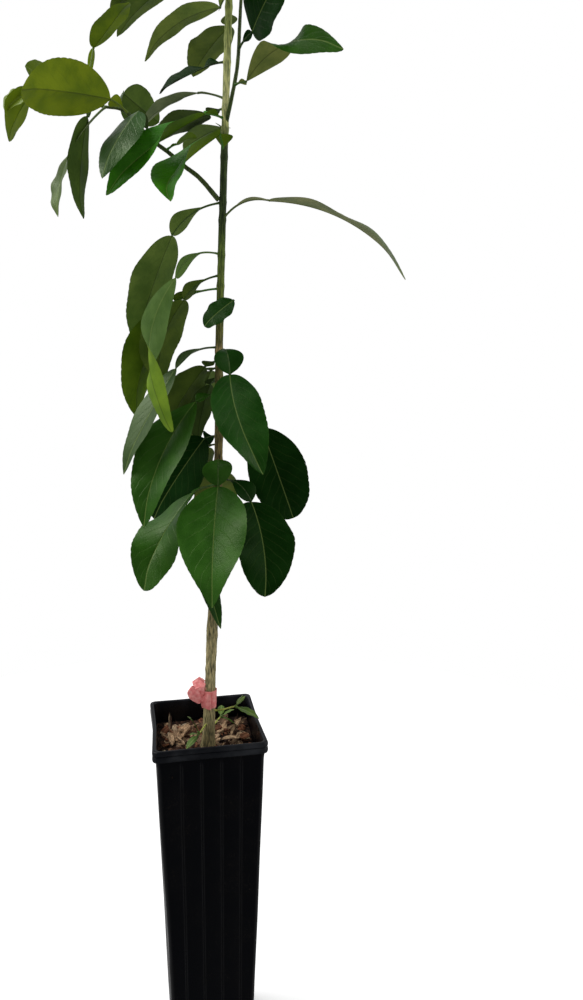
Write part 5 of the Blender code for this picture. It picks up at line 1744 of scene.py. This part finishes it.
def lay_pieces():
    """The bed's largest pieces, each laid in its own place."""
    draw = Random(CHIP_SEED)
    bm = bmesh.new()
    shade = bm.verts.layers.float.new("shade")
    for number, (kind, middle, bearing, rise, roll, tone) in enumerate(LARGE_PIECES):
        shape = chip_mesh(len(CHIP_KINDS) + number, kind, draw)
        along, side, _ = leaf_axes(bearing, rise, roll)
        turn = Matrix((along, side, along.cross(side))).transposed().to_4x4()
        turn.translation = MM * Vector(middle)
        shape.transform(turn)
        laid = len(bm.verts)
        bm.from_mesh(shape)
        bm.verts.ensure_lookup_table()
        for vertex in bm.verts[laid:]:
            vertex[shade] = tone
    return new_piece("large_pieces", mesh_of(bm, "large_pieces", chip_bark))


large_pieces = lay_pieces()
print("Large pieces:", len(LARGE_PIECES))

# %% [markdown]
# ## The ribbon
# A strip of pink flagging tape goes once round the trunk and is tied at its left side.  The knot
# gathers it, and from there a folded bow stands up in three faces and a short end hangs down.
# Each is a thin strip swept between its two edges, with soft creases across it.

# %% Ribbon finish
TAPE_PINK = screen(226, 122, 122)
TAPE_LIGHT = screen(240, 160, 154)
TAPE_EDGES = (0.35, 0.7)

tape_film, tree, shader = new_material("tape_film", roughness=0.42, specular=0.4)
light = ease(tree, mottled(tree, scale=300.0), *TAPE_EDGES)
tree.links.new(mix(tree, light, TAPE_PINK, TAPE_LIGHT), shader.inputs["Base Color"])
bump(tree, shader, mottled(tree, scale=520.0, stretch=0.4), strength=0.35, distance=0.0008)
print("Ribbon finish:", tape_film.name)

# %% Ribbon measures
RIBBON_FOOT = 0.3714
RIBBON_WIDTH = 0.0178
RIBBON_SLACK = 0.0006
RIBBON_FILM = 0.00045
RIBBON_TURNS = 96
RIBBON_KNOT_RADIUS = 0.0030
RIBBON_KNOT_SEAT = (-1.00, -0.36)
KNOT_CLEAR = 0.0018
KNOT_FOLDS = (9, 5)             # across and up
KNOT_WIDE, KNOT_HIGH = 0.72, 1.15
KNOT_FOLD_DEPTH = 0.10
KNOT_LUMPS, KNOT_LUMP_SCALE = 0.12, 1.7
TAPE_CREASE = 0.0005
CREASE_SCALES = (1.6, 0.22)     # across the tape and along it
BAND_CREASE, BAND_SEED = 0.0007, 2.0
RIBBON_SHARP = 50
END_SEED = 5.0
TAPE_ACROSS = 10
TAPE_STATIONS = 36
# The strip's two edges at places along each end, in mm to the right, back and up from the knot
BOW_FRONT = (
    ((-0.4, -1.0, -2.0), (0.4, -1.0, 1.2)), ((-3.4, -2.6, -2.6), (-0.8, -2.6, 4.4)),
    ((-8.4, -3.2, 0.4), (-3.0, -3.0, 9.6)), ((-12.6, -3.0, 4.4), (-6.6, -2.8, 13.2)),
    ((-14.0, -1.6, 8.6), (-9.8, -1.4, 15.2)), ((-12.0, 0.6, 10.2), (-8.0, 0.8, 14.6)),
    ((-6.0, 0.8, 7.0), (-3.6, 1.2, 9.6)),
)
BOW_TOP = (
    ((-1.0, -0.8, -0.4), (0.8, -0.8, 0.2)), ((-4.8, -1.2, 5.6), (1.4, -1.0, 7.0)),
    ((-7.2, -1.4, 10.4), (2.6, -1.0, 13.4)), ((-7.4, -0.2, 12.2), (3.4, 0.6, 16.0)),
    ((-8.2, 3.2, 14.6), (0.8, 3.8, 18.8)), ((-8.8, 6.0, 16.4), (-1.8, 6.4, 20.8)),
)
BOW_BACK = (
    ((-1.6, 3.6, 20.4), (-2.0, 8.6, 20.0)), ((1.6, 2.0, 18.8), (1.4, 7.0, 18.4)),
    ((4.2, 0.6, 16.6), (4.2, 5.8, 16.0)), ((3.6, 0.0, 11.6), (4.0, 4.6, 11.0)),
    ((1.2, -0.4, 4.0), (1.6, 1.6, 4.0)), ((0.0, -0.6, 0.6), (0.2, 0.4, 0.6)),
)
SHORT_TAIL = (
    ((-1.2, -1.4, -0.8), (1.2, -1.4, -1.0)), ((-1.3, -1.9, -2.7), (2.0, -1.6, -2.7)),
    ((-0.9, -1.8, -5.4), (1.0, -1.5, -5.6)), ((-0.4, -1.4, -7.8), (0.4, -1.2, -8.0)),
)
BAND_GATHER = (
    ((7.6, -6.2, -8.4), (7.6, -6.2, 8.6)), ((4.6, -5.0, -8.0), (5.0, -5.0, 7.6)),
    ((2.0, -3.0, -6.6), (2.6, -3.0, 6.2)), ((-0.2, -0.8, -2.6), (0.2, -0.8, 1.8)),
)

print("Ribbon: %.1f mm wide" % (RIBBON_WIDTH / MM))

# %% Build the ribbon
def tape_strip(bm, centres, sides, faces, widths, crease, seed):
    """A thin closed strip along a path, creased across its width."""
    loops = []
    for k, (centre, side, face, width) in enumerate(zip(centres, sides, faces, widths)):
        over, under = [], []
        for n in range(TAPE_ACROSS + 1):
            share = 2 * n / TAPE_ACROSS - 1
            spot = Vector((share * CREASE_SCALES[0], k * CREASE_SCALES[1], seed))
            wave = crease * noise.noise(spot)
            at = centre + side * share * 0.5 * width + face * wave
            over.append(at + face * 0.5 * RIBBON_FILM)
            under.append(at - face * 0.5 * RIBBON_FILM)
        loops.append([bm.verts.new(point) for point in over + under[::-1]])
    bridge(bm, loops)
    return loops


def band_strip(bm):
    """The turn of ribbon round the trunk."""
    foot, top = RIBBON_FOOT, RIBBON_FOOT + RIBBON_WIDTH
    middle = trunk_axis(0.5 * (foot + top))
    radius = max(trunk_radius(foot), trunk_radius(top)) + RIBBON_SLACK + 0.5 * RIBBON_FILM
    slope = (trunk_axis(top) - trunk_axis(foot)).normalized()
    turns = [2 * pi * k / RIBBON_TURNS for k in range(RIBBON_TURNS)]
    faces = [Vector((cos(a), sin(a), 0.0)) for a in turns]
    centres = [middle + face * radius for face in faces]
    loops = tape_strip(bm, centres, [slope] * RIBBON_TURNS, faces,
                       [RIBBON_WIDTH] * RIBBON_TURNS, BAND_CREASE, BAND_SEED)
    bridge(bm, [loops[-1], loops[0]])
    return middle, radius


def through(points, t):
    """The place at t, from 0 to 1, on a smooth line through the points."""
    last = len(points) - 1
    k = min(int(t * last), last - 1)
    f = t * last - k
    before, start, end, after = (points[min(max(k + n, 0), last)] for n in (-1, 0, 1, 2))
    return 0.5 * (2 * start + (end - before) * f
                  + (2 * before - 5 * start + 4 * end - after) * f**2
                  + (3 * start - before - 3 * end + after) * f**3)


def end_strip(bm, knot_at, stations, seed):
    """One end of the ribbon, swept between its two edges."""
    edges = [[knot_at + MM * Vector(pair[n]) for pair in stations] for n in (0, 1)]
    rows = [[through(edge, k / TAPE_STATIONS) for edge in edges]
            for k in range(TAPE_STATIONS + 1)]
    centres = [(first + second) / 2 for first, second in rows]
    sides = [(second - first).normalized() for first, second in rows]
    faces = []
    for k, side in enumerate(sides):
        ahead = centres[min(k + 1, TAPE_STATIONS)] - centres[max(k - 1, 0)]
        faces.append(side.cross(ahead).normalized())
    widths = [(second - first).length for first, second in rows]
    loops = tape_strip(bm, centres, sides, faces, widths, TAPE_CREASE, seed)
    close_ends(bm, loops)


def knot_lump(bm, knot_at):
    """The knot: a small pinched lump with folds that run round it."""
    made = bmesh.ops.create_icosphere(bm, subdivisions=4, radius=RIBBON_KNOT_RADIUS)
    for vertex in made["verts"]:
        at = vertex.co / RIBBON_KNOT_RADIUS
        crease = KNOT_FOLD_DEPTH * sin(KNOT_FOLDS[0] * at.x + KNOT_FOLDS[1] * at.z)
        crease += KNOT_LUMPS * noise.noise(at * KNOT_LUMP_SCALE)
        vertex.co = vertex.co * (1 + crease)
        vertex.co.x *= KNOT_WIDE
        vertex.co.z *= KNOT_HIGH
        vertex.co += knot_at


def build_ribbon():
    bm = bmesh.new()
    middle, radius = band_strip(bm)
    knot_at = middle + Vector((*RIBBON_KNOT_SEAT, 0.0)).normalized() * (radius + KNOT_CLEAR)
    for number, stations in enumerate((BOW_FRONT, BOW_TOP, BOW_BACK, SHORT_TAIL, BAND_GATHER)):
        end_strip(bm, knot_at, stations, END_SEED + number)
    knot_lump(bm, knot_at)
    bmesh.ops.recalc_face_normals(bm, faces=bm.faces)
    mesh = mesh_of(bm, "flagging_ribbon", tape_film)
    smoothed(mesh, RIBBON_SHARP)
    return new_piece("flagging_ribbon", mesh)


ribbon = build_ribbon()
print("Ribbon:", len(ribbon.data.polygons), "faces")

# %% [markdown]
# ## Which piece stands for which solid
# Every detailed piece moves with the object's one body.  It names the plain solids that it
# replaces, which are then hidden.  Its row also names a material slot of the record, which
# nothing here uses.

# %% Attach the pieces
PIECES = (
    (trunk, "bark", ["trunk"]), (left_limb, "green_wood", ["left_bough"]),
    (right_limb, "green_wood", ["right_bough"]), (pot, "pot", ["pot"]),
    (bed, "potting_mix", ["potting_mix"]), (chips, "potting_mix", []),
    (ribbon, "ribbon", ["ribbon"]), (sprout_stems, "sprouts", []),
    (large_pieces, "potting_mix", []),
    (sprout_leaves, "sprouts", list(SPROUTS)),
)
for piece, slot, nodes in PIECES + tuple((piece, "leaves", nodes) for piece, nodes in leaf_pieces):
    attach(piece, BODY)
    if nodes:
        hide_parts(*nodes)
total = 0
for piece in bpy.data.objects:
    if piece.type == "MESH" and "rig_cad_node" not in piece:
        piece.data.calc_loop_triangles()
        total += len(piece.data.loop_triangles)
        print("  %s: %d triangles" % (piece.name, len(piece.data.loop_triangles)))
print("Triangles in all:", total)

# %% [markdown]
# ## Studio
# A plain pale floor, a plain bright background and soft light from all round.  Waxy leaves show
# the surroundings that they mirror, so the world is made in two parts.  Diffuse light comes almost
# evenly from everywhere.  What a glossy surface mirrors is dim in front and overhead, and bright
# at both sides and behind, like two large white screens beside the plant.

# %% Floor
FLOOR_RADIUS = 0.95
FLOOR_POINTS = 96
FLOOR_PALE = screen(248, 248, 248)
FLOOR_GLOW = 0.30

turns = [2 * pi * k / FLOOR_POINTS for k in range(FLOOR_POINTS)]
edge = [(FLOOR_RADIUS * cos(a), FLOOR_RADIUS * sin(a), 0.0) for a in turns]
floor_mesh = plain_mesh("studio_floor", edge, [], [list(range(FLOOR_POINTS))])
floor = new_piece("studio_floor", floor_mesh)
floor_finish, tree, shader = new_material("floor_finish", roughness=0.8, specular=0.2)
shader.inputs["Base Color"].default_value = FLOOR_PALE
shader.inputs["Emission Color"].default_value = FLOOR_PALE
shader.inputs["Emission Strength"].default_value = FLOOR_GLOW
floor_mesh.materials.append(floor_finish)
floor.visible_glossy = False
floor.visible_diffuse = False
print("Floor: %.1f m across" % (2 * FLOOR_RADIUS))

# %% Surroundings
SHOWN_WHITE = screen(255, 255, 255)
FILL_BELOW, FILL_ABOVE = 0.50, 0.60         # diffuse light from the floor and from overhead
MIRRORED_DARK = 0.03                        # what gloss mirrors in front and overhead
SIDE_SCREENS = 0.32                         # and at both sides
BACK_SCREEN = 0.48                          # and behind the plant
MIRRORED_FLOOR = 0.08
FILL_RANGE, SIDE_RANGE, TOP_RANGE = (-0.6, 0.7), (0.30, 0.75), (0.60, 0.90)
BACK_RANGE, FLOOR_RANGE = (0.25, 0.80), (-0.70, -0.10)

world = bpy.data.worlds.new("studio")
bpy.context.scene.world = world
world.use_nodes = True
world.cycles.sampling_method = "NONE"       # else gloss would also see the diffuse part
tree = world.node_tree
tree.nodes.clear()
towards = out(tree, "ShaderNodeTexCoord", output="Generated")
across, away, up = split(tree, towards)
fill = ease(tree, up, *FILL_RANGE, FILL_BELOW, FILL_ABOVE)
aside = ease(tree, sum_up(tree, "ABSOLUTE", across), *SIDE_RANGE, 0.0, SIDE_SCREENS)
aside = times(tree, aside, ease(tree, up, *TOP_RANGE, 1.0, 0.0))
behind = ease(tree, away, *BACK_RANGE, 0.0, BACK_SCREEN)
below = ease(tree, up, *FLOOR_RANGE, MIRRORED_FLOOR, 0.0)
mirrored = sum_up(tree, "MAXIMUM", sum_up(tree, "MAXIMUM", aside, behind), below)
mirrored = plus(tree, mirrored, MIRRORED_DARK)
rays = add(tree, "ShaderNodeLightPath").outputs
by_diffuse, by_gloss, by_camera = (
    out(tree, "ShaderNodeBackground", {"Color": SHOWN_WHITE, "Strength": strength})
    for strength in (fill, mirrored, 1.0))
either = out(tree, "ShaderNodeMixShader", {0: rays["Is Glossy Ray"], 1: by_diffuse, 2: by_gloss})
either = out(tree, "ShaderNodeMixShader", {0: rays["Is Camera Ray"], 1: either, 2: by_camera})
add(tree, "ShaderNodeOutputWorld", {0: either})
print("Surroundings ready")

# %% Soft boxes
TREE_MIDDLE = Vector((0.0, 0.0, 0.65))
SOFT_BOXES = (                  # place, diameter, watts
    ((-0.90, 0.35, 2.05), 1.3, 25.0),
    ((1.40, -0.30, 1.50), 1.0, 7.0),
)

for number, (place_of, size, watts) in enumerate(SOFT_BOXES):
    softbox = bpy.data.lights.new("softbox_%d" % number, "AREA")
    softbox.shape = "DISK"
    softbox.size = size
    softbox.energy = watts
    lamp = bpy.data.objects.new("softbox_%d" % number, softbox)
    towards = (TREE_MIDDLE - Vector(place_of)).normalized()
    lamp.matrix_world = towards.to_track_quat("-Z", "Y").to_matrix().to_4x4()
    lamp.matrix_world.translation = place_of
    bpy.context.scene.collection.objects.link(lamp)
bpy.context.scene.view_settings.view_transform = "Standard"
print("Soft boxes:", len(SOFT_BOXES))
